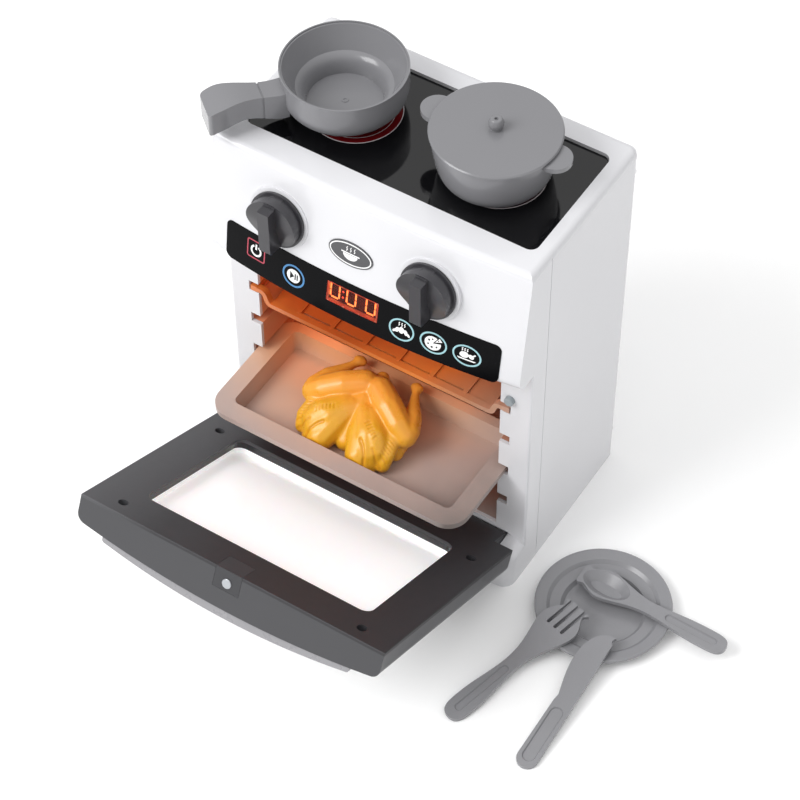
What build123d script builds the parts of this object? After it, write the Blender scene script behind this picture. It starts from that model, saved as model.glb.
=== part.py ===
"""Toy oven with hob, drop-down door, rack, tray and play cookware.

Millimetres, +Z up, +X to the right of somebody facing the door, -Y towards them.
The origin is the middle of the oven's underside. The door stands open on its stop,
the baking tray is drawn half out and the cookware stands on the burners.
"""

from build123d import *
from math import atan2, cos, degrees, radians, sin, sqrt
import os

os.makedirs("parts", exist_ok=True)

# ---- Driving dimensions: casing ----
WIDTH = 200.0
DEPTH = 108.0
HEIGHT = 260.0
WALL = 2.2
EDGE_ROUND = 4.5
BACK_CORNER = 6.0
STILE_ROUND = 1.5
SEAM_FROM_FRONT = 14.5
SEAM_GROOVE = 0.45

# ---- Front: control panel and plinth, both bowed in plan ----
PANEL_LOW = 178.0
BOW_RADIUS = 600.0
PANEL_BULGE_LOW = 24.0
PANEL_BULGE_TOP = 8.0
PANEL_TOP_RADIUS = 1650.0
PANEL_CORNER = 7.0
PLINTH_BULGE = 24.0
PLINTH_CORNER = 8.0
LEDGE_Z = 28.3
LEDGE_ROUND = 6.0
TROUGH_Z = 13.5
TROUGH_DEPTH = 2.4
SILL_LOW = 30.0
SILL_SHELF = 1.6

# ---- Oven cavity ----
CAVITY_HALF = 80.5
SILL_Z = 34.0
CAVITY_DEPTH = 83.0
LINER_WALL = 2.0
GROOVE_DEEP = 6.5
GROOVE_TALL = 7.5
GROOVE_FIRST = 59.0
GROOVE_PITCH = 27.25
GROOVE_COUNT = 4
LINER_GAP = 0.2
LENS_X = -30.0
LENS_FROM_FRONT = 58.0
LENS_LONG = 40.0
LENS_DEEP = 14.0
LENS_THICK = 2.0
LENS_GAP = 0.15

# ---- Hob ----
HOB_HALF_X = 90.6
HOB_FROM_FRONT = 11.4
HOB_DEPTH = 81.3
HOB_SUNK = 2.0
HOB_THICK = 2.5
HOB_CORNER = 5.0
HOB_GAP = 0.3
HOB_LEDGE = 4.0
BURNER_X = 45.3
BURNER_OUTER = 25.6
BURNER_INNER = 19.4
BURNER_SUNK = 1.0
LED_RADIUS = 2.4
LEDS_PER_BURNER = 4
BOARD_THICK = 1.6

# ---- Door ----
HINGE_FORWARD = 13.5
HINGE_Z = 22.3
DOOR_OPEN = 65.0
DOOR_GAP = 0.4
DOOR_HALF = 100.0
DOOR_LOW = 6.4
DOOR_LENGTH = 148.5
DOOR_BULGE = 25.5
DOOR_CORNER = 6.0
DOOR_WALL = 2.2
DOOR_PLATE = 2.0
SKIRT_HALF = 88.0
SKIRT_DROP = 7.3
BARREL_RADIUS = 4.0
CHEEK_GAP = 0.5
PIN_RADIUS = 2.0
PIN_CLEAR = 0.06
PIN_LENGTH = 10.0
PIN_OUT = 5.0
WINDOW_HALF = 74.5
WINDOW_LOW = 30.2
WINDOW_FROM_TOP = 25.6
WINDOW_CORNER = 6.0
PANE_LAP = 3.0
PANE_THICK = 1.5
PANE_DEEP = 8.9
PANE_FRAME = 1.6
DOOR_EDGE_ROUND = 0.5
DOOR_SCREW_X = (86.8, 79.0)
DOOR_SCREW_LOW = 34.0
DOOR_SCREW_FROM_TOP = 10.9
SCREW_WELL = 3.0
SCREW_WELL_WALL = 1.3
SCREW_WELL_DEEP = 5.0
WELL_FLOOR = 1.2
SCREW_HEAD = 2.7
SCREW_SHANK = 1.45
HANDLE_HALF = 82.0
HANDLE_STAND = 5.6
HANDLE_RADIUS = 450.0
HANDLE_END_ROUND = 2.0
HANDLE_TALL = 13.0
HANDLE_SET_BACK = 1.0
HANDLE_WALL = 2.2
GRIP_HALF = 45.0
LATCH_BLOCK_HALF = 8.5
LATCH_BLOCK_TALL = 13.0
LATCH_BLOCK_DEEP = 13.0
LATCH_RADIUS = 3.0
LATCH_FROM_BACK = 8.1
LATCH_PROUD = 0.5
LATCH_TRAVEL = 0.5
LATCH_LONG = 5.5
LATCH_FLOOR = 2.0
BLOCK_GAP = 0.15

# ---- Knobs ----
KNOB_MID_X = -4.8
KNOB_X = 48.0
KNOB_FROM_TOP = 33.0
KNOB_RADIUS = 17.0
KNOB_DISC = 1.6
DRUM_RADIUS = 15.6
KNOB_PAD_RADIUS = 19.0
KNOB_PAD_PROUD = 1.3
KNOB_LIFT = 0.4
GRIP_HIGH = 18.0
GRIP_LOW = 12.2
GRIP_WIDE = 7.2
GRIP_TOP = 14.8
GRIP_STEP = 0.9
DRUM_SLOPE = ((15.6, 11.4), (6.5, 10.6), (0, 9.3), (-8, 6.0), (-15.6, 3.4))
SHAFT_RADIUS = 3.0
SHAFT_CLEAR = 0.06
SHAFT_IN = 11.0
SHAFT_OUT = 7.0
SHAFT_HOLE = 4.2
SWITCH_HALF = 7.0
SWITCH_DEEP = 7.0
SWITCH_SEAT = 3.0
SWITCH_RING = 8.0

# ---- Label and display ----
LABEL_HALF = 88.0
LABEL_LOW = 181.5
LABEL_TALL = 26.0
LABEL_CORNER = 4.0
LABEL_THICK = 0.4
DISPLAY_X = -2.0
DISPLAY_Z = 196.5
DISPLAY_WIDE = 33.0
DISPLAY_TALL = 13.5
DISPLAY_STEP = 1.0
BADGE_X = -5.9
BADGE_FROM_TOP = 33.4
BADGE_WIDE = 28.0
BADGE_TALL = 15.0
BADGE_THICK = 0.6

# ---- Door plunger ----
PLUNGER_X = 86.7
PLUNGER_Z = 149.8
PLUNGER_RADIUS = 2.9
PLUNGER_OUT = 3.0
PLUNGER_TRAVEL = 3.0
PLUNGER_LONG = 13.0
PLUNGER_COLLAR = 3.6
PLUNGER_STEM = 1.4
STEM_LONG = 8.0
SPRING_RADIUS = 2.6
SPRING_WALL = 0.9
SLIDE_CLEAR = 0.08

# ---- Rack and tray ----
RACK_GROOVE = 3
TRAY_GROOVE = 1
SEAT_GAP = 0.3
RACK_RAIL = 4.0
RACK_LENGTH = 80.0
RACK_INSET = 1.0
RACK_DROP = 8.5
RACK_BARS = 6
RACK_BAR_WIDE = 2.7
RACK_BAR_PROUD = 1.0
RACK_PLATE = 1.6
RACK_PLATE_HALF = 73.0
BAR_PITCH = 22.2
BEND = 8.0
SLOT_LONG = 18.0
SLOT_WIDE = 1.8
SLOT_PITCH = 14.0
SLOT_ROWS = 5
TRAY_OUT = 52.5
TRAY_LENGTH = 81.5
TRAY_HALF = 84.5
TRAY_FLANGE = 4.0
TRAY_RIM = 11.0
TRAY_BACK_RIM = 6.0
TRAY_BASIN_CORNER = 4.0
TRAY_SLOPE = 2.5
TRAY_FLOOR = 12.0
TRAY_CORNER = 13.0
TRAY_WALL = 2.0
CHICKEN_TALL = 34.0
CHICKEN_LONG = 63.0
CHICKEN_WIDE = 78.0
ANKLE_X = 19.5
CHICKEN_X = -5.5
LOBE = 18.0
THIGH = 11.0
SHANK = 3.8
SHANK_Z = 12.0

# ---- Cookware ----
PAN_X = -52.4
POT_X = 42.4
REST_GAP = 0.2
PAN_RADIUS = 35.4
PAN_BASE = 22.0
PAN_TALL = 29.0
PAN_WALL = 1.8
PAN_FLOOR = 3.3
PAN_WELL = 20.9
PAN_BEND = 26.8
PAN_BEND_LOW = 14.0
PAN_SKIRT = 33.6
PAN_SKIRT_Z = 9.5
PAN_LIP = 0.8
PAN_HANDLE_TURN = 230.5
PAN_HANDLE_ROUND = 2.4
HANDLE_PLAN = ((33, 6.8), (47, 6.4), (60, 8.2), (70, 10.2), (78, 9.9))
HANDLE_UPPER = ((33, 24.2), (47, 24.8), (60, 26.8), (70, 26.0), (78, 22.5))
HANDLE_LOWER = ((33, 7.0), (46, 9.3), (57, 13.0), (67, 12.5), (78, 8.5))
GROOVE_AT = 47.0
GROOVE_LONG = 1.0
GROOVE_CUT = 0.5
POT_RADIUS = 34.5
POT_BASE = 26.4
POT_TALL = 29.0
POT_WALL = 1.8
EAR_REACH = 44.7
EAR_RADIUS = 9.5
EAR_THICK = 3.0
EAR_TURN = 1.0
EAR_DROP = 0.0
LID_RADIUS = 35.8
LID_EDGE = 2.0
LID_CONE = 0.6
LID_RIM = 3.0
LID_KNOB_RADIUS = 3.6
LID_KNOB_TALL = 7.0
LID_KNOB_HOLE = 1.0
GATE_RADIUS = 1.9
GATE_TALL = 0.3

# ---- Plate and cutlery ----
PLATE_X = 154.0
PLATE_Y = -54.4
PLATE_RADIUS = 40.0
PLATE_TALL = 8.0
PLATE_FOOT = 24.0
PLATE_WALL = 2.0
CUTLERY_THICK = 2.6
WELL_RADIUS = 23.0
DIMPLE_DEEP = 0.9
TINE_GAP = 2.2
TINE_PITCH = 5.4
TINE_LONG = 21.0
TINES = 4
FORK_START = (116.3, -164.0)
FORK_LONG = 102.0
FORK_HEADING = 73.7
FORK_EDGE = ((10, 7.0), (34, 5.4), (50, 4.4), (62, 6.0), (76, 10.6), (92, 10.4), (99, 7))
KNIFE_START = (168.2, -170.0)
KNIFE_LONG = 96.4
KNIFE_HEADING = 90.2
SPOON_START = (229.0, -46.1)
SPOON_LONG = 96.8
SPOON_HEADING = 177.6
SPOON_EDGE = ((10, 6.4), (36, 5.2), (54, 4.4), (64, 6.2), (76, 9.6), (86, 9.2), (93, 6.2))
SPOON_TILT = -1.4
BOWL_LONG = 33.0
BOWL_WIDE = 19.4
BOWL_DEEP = 3.6
BOWL_SLOPE = 5.4
KNIFE_HALF = 6.2
BLADE_FROM = 49.0
BLADE_EDGE = 9.4

# ---- Power and sound ----
CELL_RADIUS = 7.2
CELL_LONG = 50.0
CELL_COUNT = 3
CELL_GAP = 1.0
CONTACT_THICK = 0.5
BUTTON_LONG = 1.5
BATTERY_Z = 66.0
BOX_WALL = 1.5
COVER_LAP = 3.0
COVER_THICK = 1.2
SPEAKER_X = -56.0
SPEAKER_Z = 150.0
SPEAKER_RADIUS = 20.0
SPEAKER_DEEP = 9.0
BOSS_RADIUS = 3.6
BOSS_HOLE = 1.2
BOSS_TALL = 9.5
COVER_TAB = 5.0
COVER_GAP = 0.2

# ---- Screws that join the housings and the base plate ----
JOIN_RADIUS = 4.3
JOIN_WELL = 3.0
JOIN_GRIP = 8.0
JOIN_THREAD = 9.0
JOIN_LOW = 20.0
JOIN_FROM_TOP = 20.0
BASE_THICK = 2.5
BASE_RIB = 5.0
BASE_HEAD = 1.3
HEAD_TALL = 1.1
BASE_SCREW_Y = (-46.2, 43.0)
PLATE_GAP = 0.2
LEG_X = 60.0
LEG_Y = 60.0
LEG_WIDE = 6.0
RIB_PITCH = 60.0
RIB_LONG = 44.0
RIB_THICK = 2.0

# ---- Control board, carried on four posts behind the panel ----
BOARD_HALF = 78.0
BOARD_LOW = 184.0
BOARD_HIGH = 208.0
BOARD_IN = 4.0
CHIP_X = 30.0
CHIP_SIDE = 12.0
CHIP_TALL = 2.0
CAN_X = 55.0
CAN_PITCH = 10.0
CAN_RADIUS = 2.5
CAN_TALL = 6.0
POST_RADIUS = 2.6
POST_FROM_END = 6.0
POST_HOLE = 7.0
SWITCH_BOX_Y = -28.0
SWITCH_BOX_LONG = 10.0
SWITCH_BOX_WIDE = 8.0
SWITCH_BOX_TALL = 6.5

# ---- Places worked out from the sizes above ----
HALF = WIDTH / 2
FRONT = -DEPTH / 2
BACK = DEPTH / 2
SEAM = FRONT + SEAM_FROM_FRONT
HOB_TOP = HEIGHT - HOB_SUNK
HOB_LOW = HOB_TOP - HOB_THICK
HOB_FRONT = FRONT + HOB_FROM_FRONT
HOB_MID_Y = HOB_FRONT + HOB_DEPTH / 2
LED_RING = (BURNER_OUTER + BURNER_INNER) / 2
CAVITY_BACK = FRONT + CAVITY_DEPTH
LINER_FRONT = FRONT + WALL + LINER_GAP
LENS_Y = FRONT + LENS_FROM_FRONT
LINER_SIDE = CAVITY_HALF + GROOVE_DEEP + LINER_WALL
HINGE_Y = FRONT - HINGE_FORWARD
DOOR_BACK = -(HINGE_FORWARD - DOOR_GAP)
DOOR_TOP = DOOR_LOW + DOOR_LENGTH
DOOR_SHELL = DOOR_BACK + DOOR_PLATE
DOOR_NOSE = DOOR_BULGE - HINGE_FORWARD
CHEEK_X = SKIRT_HALF + CHEEK_GAP
WINDOW_TOP = DOOR_TOP - WINDOW_FROM_TOP
WINDOW_TALL = WINDOW_TOP - WINDOW_LOW
COOK_Z = HOB_TOP + REST_GAP
RIM_CLEAR = PLATE_TALL + REST_GAP
KNOB_Z = HEIGHT - KNOB_FROM_TOP
BADGE_Z = HEIGHT - BADGE_FROM_TOP
JOIN_X = HALF - WALL - JOIN_RADIUS + 0.5
JOIN_HIGH = HEIGHT - JOIN_FROM_TOP
BOARD_FRONT = FRONT - BOARD_IN
POST_Z = (BOARD_LOW + BOARD_HIGH) / 2
OPENING_TALL = 2 * CELL_RADIUS * CELL_COUNT + CELL_GAP * (CELL_COUNT - 1) + 2
OPENING_WIDE = CELL_LONG + 8
COVER_SCREW_Z = BATTERY_Z + OPENING_TALL / 2 + BOX_WALL + BOSS_RADIUS + COVER_GAP


def sag(half, radius):
    """How far an arc of this radius falls back from its middle at half its chord."""
    return radius - sqrt(radius**2 - half**2)


def groove_z(index):
    """The middle height of one pair of shelf grooves."""
    return GROOVE_FIRST + index * GROOVE_PITCH


def panel_face(x, z):
    """The Y of the control panel's face."""
    low = FRONT - PANEL_BULGE_LOW + sag(x, BOW_RADIUS)
    top = FRONT - PANEL_BULGE_TOP + sag(x, PANEL_TOP_RADIUS)
    return low + (top - low) * (z - PANEL_LOW) / (HEIGHT - PANEL_LOW)


def block(x, y, z, mode=Mode.ADD):
    """A box between limits on the three axes of the part being built."""
    with Locations(((x[0] + x[1]) / 2, (y[0] + y[1]) / 2, (z[0] + z[1]) / 2)):
        Box(x[1] - x[0], y[1] - y[0], z[1] - z[0], mode=mode)


def bowed(plane, half, mid, radius, back):
    """A face with straight sides and back, and a front arc that bulges to mid."""
    end = mid + (sag(half, radius) if back > mid else -sag(half, radius))
    with BuildSketch(plane) as face:
        with BuildLine():
            ThreePointArc((-half, end), (0, mid), (half, end))
            Polyline((half, end), (half, back), (-half, back), (-half, end))
        make_face()
    return face.sketch


def finish(built, name):
    """Label a finished part and write its STEP file."""
    built.part.label = name
    export_step(built.part, f"parts/{name}.step")


def knob_plane(x):
    """The plane of one knob's pad: its Z leaves the control panel."""
    rise = panel_face(x, HEIGHT) - panel_face(x, PANEL_LOW)
    tilt = atan2(rise, HEIGHT - PANEL_LOW)
    face = (x, panel_face(x, KNOB_Z), KNOB_Z)
    return Plane(origin=face, x_dir=(1, 0, 0), z_dir=(0, -cos(tilt), sin(tilt)))


def base_screw_places():
    """The four screws that hold the base plate, seen from above."""
    return [(side * JOIN_X, y) for side in (-1, 1) for y in BASE_SCREW_Y]


def post_places():
    """The two posts of the control board, seen from the front."""
    return [(side * (BOARD_HALF - POST_FROM_END), POST_Z) for side in (-1, 1)]


def join_places():
    """The four screws across the seam, seen from the front."""
    return [(side * JOIN_X, z) for side in (-1, 1) for z in (JOIN_LOW, JOIN_HIGH)]


def cover_face(gap):
    """The battery cover's outline on the back wall, smaller by a gap."""
    with BuildSketch(Plane.XZ.offset(-BACK)) as face:
        with Locations((0, BATTERY_Z)):
            RectangleRounded(
                OPENING_WIDE + 2 * (COVER_LAP - gap),
                OPENING_TALL + 2 * (COVER_LAP - gap),
                5 - gap,
            )
        with Locations((0, COVER_SCREW_Z)):
            Circle(COVER_TAB - gap)
    return face.sketch


# =====================================================================
# Casing: one shell, split into a front and a rear housing at the seam
# =====================================================================
def panel_sections(inset):
    """The panel's lower and upper outlines, inset by a wall or by nothing."""
    low = bowed(
        Plane.XY.offset(PANEL_LOW + inset),
        HALF - inset,
        FRONT - PANEL_BULGE_LOW + inset,
        BOW_RADIUS,
        FRONT + WALL,
    )
    top = bowed(
        Plane.XY.offset(HEIGHT - inset),
        HALF - inset,
        FRONT - PANEL_BULGE_TOP + inset,
        PANEL_TOP_RADIUS,
        FRONT + WALL,
    )
    return [low, top]


with BuildPart() as panel_nose:
    loft(sections=panel_sections(0), ruled=True)
    front_corners = panel_nose.edges().filter_by(lambda e: e.length > HEIGHT - PANEL_LOW - 1)
    fillet(front_corners.group_by(Axis.Y)[0], PANEL_CORNER)

with BuildPart() as plinth_nose:
    extrude(
        bowed(Plane.XY, HALF, FRONT - PLINTH_BULGE, BOW_RADIUS, FRONT + WALL),
        amount=LEDGE_Z,
    )
    fillet(plinth_nose.edges().filter_by(Axis.Z).group_by(Axis.Y)[0], PLINTH_CORNER)
    ledge_edges = plinth_nose.faces().sort_by(Axis.Z)[-1].edges()
    fillet(ledge_edges.filter_by(lambda e: e.center().Y < FRONT - 1), LEDGE_ROUND)

with BuildPart() as casing:
    block((-HALF, HALF), (FRONT, BACK), (0, HEIGHT))
    upright = casing.edges().filter_by(Axis.Z)
    fillet(upright.group_by(Axis.Y)[-1], BACK_CORNER)
    fillet(casing.edges().filter_by(Axis.Z).group_by(Axis.Y)[0], STILE_ROUND)
    add(panel_nose.part)
    add(plinth_nose.part)
    rim = casing.edges().filter_by_position(Axis.Z, HEIGHT - 0.01, HEIGHT + 0.01)
    fillet(rim, EDGE_ROUND)
    # hollow: the box, the control panel and the middle of the plinth
    block(
        (-HALF + WALL, HALF - WALL),
        (FRONT + WALL, BACK - WALL),
        (-1, HEIGHT - WALL),
        Mode.SUBTRACT,
    )
    loft(sections=panel_sections(WALL), ruled=True, mode=Mode.SUBTRACT)
    # the trough that the door's lower skirt swings in, between two solid cheeks
    block(
        (-CHEEK_X, CHEEK_X),
        (FRONT - 2 * PLINTH_BULGE, FRONT + TROUGH_DEPTH),
        (TROUGH_Z, SILL_LOW),
        Mode.SUBTRACT,
    )
    extrude(
        bowed(
            Plane.XY.offset(-1),
            CHEEK_X,
            FRONT - PLINTH_BULGE + WALL,
            BOW_RADIUS,
            FRONT + 2 * WALL,
        ),
        amount=TROUGH_Z - WALL + 1,
        mode=Mode.SUBTRACT,
    )
    block(
        (-HALF + WALL, HALF - WALL),
        (FRONT + TROUGH_DEPTH, FRONT + TROUGH_DEPTH + WALL),
        (TROUGH_Z - WALL, SILL_LOW + SILL_SHELF),
    )
    block(
        (-CHEEK_X, CHEEK_X),
        (FRONT, FRONT + TROUGH_DEPTH + WALL),
        (SILL_LOW, SILL_LOW + SILL_SHELF),
    )
    block(
        (-CHEEK_X, CHEEK_X),
        (FRONT, FRONT + TROUGH_DEPTH + WALL),
        (TROUGH_Z - WALL, TROUGH_Z),
    )
    # the oven's mouth, with the ends of the shelf grooves
    block(
        (-CAVITY_HALF, CAVITY_HALF),
        (FRONT - 1, FRONT + WALL + 0.1),
        (SILL_Z, PANEL_LOW),
        Mode.SUBTRACT,
    )
    for index in range(GROOVE_COUNT):
        block(
            (-CAVITY_HALF - GROOVE_DEEP, CAVITY_HALF + GROOVE_DEEP),
            (FRONT - 1, FRONT + WALL + 0.1),
            (groove_z(index) - GROOVE_TALL / 2, groove_z(index) + GROOVE_TALL / 2),
            Mode.SUBTRACT,
        )
    # the seat that the hob plate drops into
    seat_out = WALL + HOB_GAP
    block(
        (-HOB_HALF_X - seat_out, HOB_HALF_X + seat_out),
        (HOB_FRONT - seat_out, HOB_FRONT + HOB_DEPTH + seat_out),
        (HOB_LOW - WALL, HEIGHT - WALL / 2),
    )
    block(
        (-HOB_HALF_X + HOB_LEDGE, HOB_HALF_X - HOB_LEDGE),
        (HOB_FRONT + HOB_LEDGE, HOB_FRONT + HOB_DEPTH - HOB_LEDGE),
        (HOB_LOW - WALL - 1, HEIGHT + 1),
        Mode.SUBTRACT,
    )
    with BuildSketch(Plane.XY.offset(HOB_LOW)):
        with Locations((0, HOB_MID_Y)):
            RectangleRounded(
                2 * (HOB_HALF_X + HOB_GAP),
                HOB_DEPTH + 2 * HOB_GAP,
                HOB_CORNER + HOB_GAP,
            )
    extrude(amount=HEIGHT - HOB_LOW + 1, mode=Mode.SUBTRACT)
    # hinge bores in the cheeks
    with Locations(Plane(origin=(-HALF, HINGE_Y, HINGE_Z), z_dir=(1, 0, 0))):
        with Locations((0, 0, HALF)):
            Cylinder(
                PIN_RADIUS + PIN_CLEAR,
                2 * (SKIRT_HALF + PIN_OUT + CHEEK_GAP),
                mode=Mode.SUBTRACT,
            )
    # the door plunger's guide
    with Locations(Plane(origin=(PLUNGER_X, FRONT + 4, PLUNGER_Z), z_dir=(0, 1, 0))):
        Cylinder(PLUNGER_RADIUS + SLIDE_CLEAR, 20, mode=Mode.SUBTRACT)
    # knob pads, the rings that the switches seat on, and shaft holes
    for side in (-1, 1):
        with Locations(knob_plane(KNOB_MID_X + side * KNOB_X)):
            with Locations((0, 0, (KNOB_PAD_PROUD - WALL) / 2)):
                Cylinder(KNOB_PAD_RADIUS, KNOB_PAD_PROUD + WALL)
            with Locations((0, 0, -SWITCH_SEAT / 2)):
                Cylinder(SWITCH_RING, SWITCH_SEAT)
            Cylinder(SHAFT_HOLE, 4 * SWITCH_SEAT, mode=Mode.SUBTRACT)
    # the display's opening and the control board's posts
    with BuildSketch(Plane.XZ.offset(-FRONT)):
        with Locations((DISPLAY_X, DISPLAY_Z)):
            Rectangle(DISPLAY_WIDE - 2 * DISPLAY_STEP, DISPLAY_TALL - 2 * DISPLAY_STEP)
    extrude(amount=2 * PANEL_BULGE_LOW, mode=Mode.SUBTRACT)
    for side in (-1, 1):
        x = side * (BOARD_HALF - POST_FROM_END)
        start = panel_face(x, POST_Z) + WALL / 2
        with Locations(Plane(origin=(x, (start + BOARD_FRONT) / 2, POST_Z), z_dir=(0, 1, 0))):
            Cylinder(POST_RADIUS, BOARD_FRONT - start)
    with BuildSketch(Plane.XZ.offset(-BOARD_FRONT)):
        with Locations(*post_places()):
            Circle(BOSS_HOLE)
    extrude(amount=POST_HOLE, mode=Mode.SUBTRACT)
    # bosses that the base plate screws to
    with BuildSketch(Plane.XY.offset(BASE_THICK)):
        with Locations(*base_screw_places()):
            Circle(JOIN_RADIUS)
    extrude(amount=BOSS_TALL)
    with BuildSketch(Plane.XY.offset(BASE_THICK)):
        with Locations(*base_screw_places()):
            Circle(BOSS_HOLE)
    extrude(amount=BOSS_TALL - 1, mode=Mode.SUBTRACT)
    # tubes across the seam: screws go in from the back and grip the front housing
    with BuildSketch(Plane.XZ.offset(-BACK)):
        with Locations(*join_places()):
            Circle(JOIN_RADIUS)
    extrude(amount=BACK - SEAM + JOIN_THREAD)
    with BuildSketch(Plane.XZ.offset(-BACK)):
        with Locations(*join_places()):
            Circle(JOIN_WELL)
    extrude(amount=BACK - SEAM - JOIN_GRIP, mode=Mode.SUBTRACT)
    with BuildSketch(Plane.XZ.offset(-BACK)):
        with Locations(*join_places()):
            Circle(SCREW_SHANK + PIN_CLEAR)
    extrude(amount=BACK - SEAM + JOIN_THREAD - 1, mode=Mode.SUBTRACT)
    # the bracket that holds the door switch, and the speaker's rim
    block(
        (PLUNGER_X + SWITCH_BOX_WIDE / 2, HALF - WALL / 2),
        (SWITCH_BOX_Y, SWITCH_BOX_Y + SWITCH_BOX_LONG),
        (PLUNGER_Z - SWITCH_BOX_TALL / 2, PLUNGER_Z + SWITCH_BOX_TALL / 2),
    )
    with BuildSketch(Plane.XZ.offset(-BACK + WALL / 2)):
        with Locations((SPEAKER_X, SPEAKER_Z)):
            Circle(SPEAKER_RADIUS + BOX_WALL + COVER_GAP)
            Circle(SPEAKER_RADIUS + COVER_GAP, mode=Mode.SUBTRACT)
    extrude(amount=SPEAKER_DEEP / 2)
    # the battery cover's screw boss
    with BuildSketch(Plane.XZ.offset(-BACK + COVER_THICK)):
        with Locations((0, COVER_SCREW_Z)):
            Circle(BOSS_RADIUS)
    extrude(amount=BOSS_TALL)
    # battery opening, the cover's recess and its screw hole in the back wall
    with BuildSketch(Plane.XZ.offset(-BACK)):
        with Locations((0, BATTERY_Z)):
            RectangleRounded(OPENING_WIDE, OPENING_TALL, 3)
    extrude(amount=WALL + 1, mode=Mode.SUBTRACT)
    extrude(cover_face(0), amount=COVER_THICK, mode=Mode.SUBTRACT)
    with BuildSketch(Plane.XZ.offset(-BACK)):
        with Locations((0, COVER_SCREW_Z)):
            Circle(BOSS_HOLE)
    extrude(amount=COVER_THICK + BOSS_TALL - 1, mode=Mode.SUBTRACT)
    # the speaker's grille
    with BuildSketch(Plane.XZ.offset(-BACK)):
        with Locations((SPEAKER_X, SPEAKER_Z)):
            with GridLocations(0, 5, 1, 6):
                SlotOverall(30, 2.2)
    extrude(amount=2 * WALL, both=True, mode=Mode.SUBTRACT)
    # the seam's fine groove, round the sides and over the top
    block(
        (-HALF - 1, -HALF + SEAM_GROOVE),
        (SEAM - SEAM_GROOVE / 2, SEAM + SEAM_GROOVE / 2),
        (-1, HEIGHT + 1),
        Mode.SUBTRACT,
    )
    block(
        (HALF - SEAM_GROOVE, HALF + 1),
        (SEAM - SEAM_GROOVE / 2, SEAM + SEAM_GROOVE / 2),
        (-1, HEIGHT + 1),
        Mode.SUBTRACT,
    )

with BuildPart() as front_housing:
    add(casing.part)
    split(bisect_by=Plane.XZ.offset(-SEAM), keep=Keep.TOP)

with BuildPart() as rear_housing:
    add(casing.part)
    split(bisect_by=Plane.XZ.offset(-SEAM), keep=Keep.BOTTOM)

finish(front_housing, "front_housing")
finish(rear_housing, "rear_housing")

# =====================================================================
# Base plate, closing the underside
# =====================================================================
with BuildPart() as base_plate:
    inset = WALL + PLATE_GAP
    block((-HALF + inset, HALF - inset), (FRONT + inset, BACK - inset), (0, BASE_THICK))
    extrude(
        bowed(
            Plane.XY,
            CHEEK_X - PLATE_GAP,
            FRONT - PLINTH_BULGE + inset,
            BOW_RADIUS,
            FRONT + 2 * inset,
        ),
        amount=BASE_THICK,
    )
    upright = base_plate.edges().filter_by(Axis.Z)
    fillet(upright.group_by(Axis.Y)[-1], BACK_CORNER - inset)
    # ribs, the liner's four legs and the sunk screw holes
    with Locations((0, BACK / 2, BASE_THICK + BASE_RIB / 2)):
        with GridLocations(RIB_PITCH, 0, 3, 1):
            Box(RIB_THICK, RIB_LONG, BASE_RIB)
    with BuildSketch(Plane.XY.offset(BASE_THICK)):
        with GridLocations(2 * LEG_X, LEG_Y, 2, 2):
            Rectangle(LEG_WIDE, LEG_WIDE)
    extrude(amount=SILL_Z - LINER_WALL - BASE_THICK)
    with BuildSketch(Plane.XY):
        with Locations(*base_screw_places()):
            Circle(SCREW_HEAD + COVER_GAP)
    extrude(amount=BASE_HEAD, mode=Mode.SUBTRACT)
    with BuildSketch(Plane.XY):
        with Locations(*base_screw_places()):
            Circle(SCREW_SHANK + PIN_CLEAR)
    extrude(amount=BASE_THICK, mode=Mode.SUBTRACT)

finish(base_plate, "base_plate")

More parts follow.
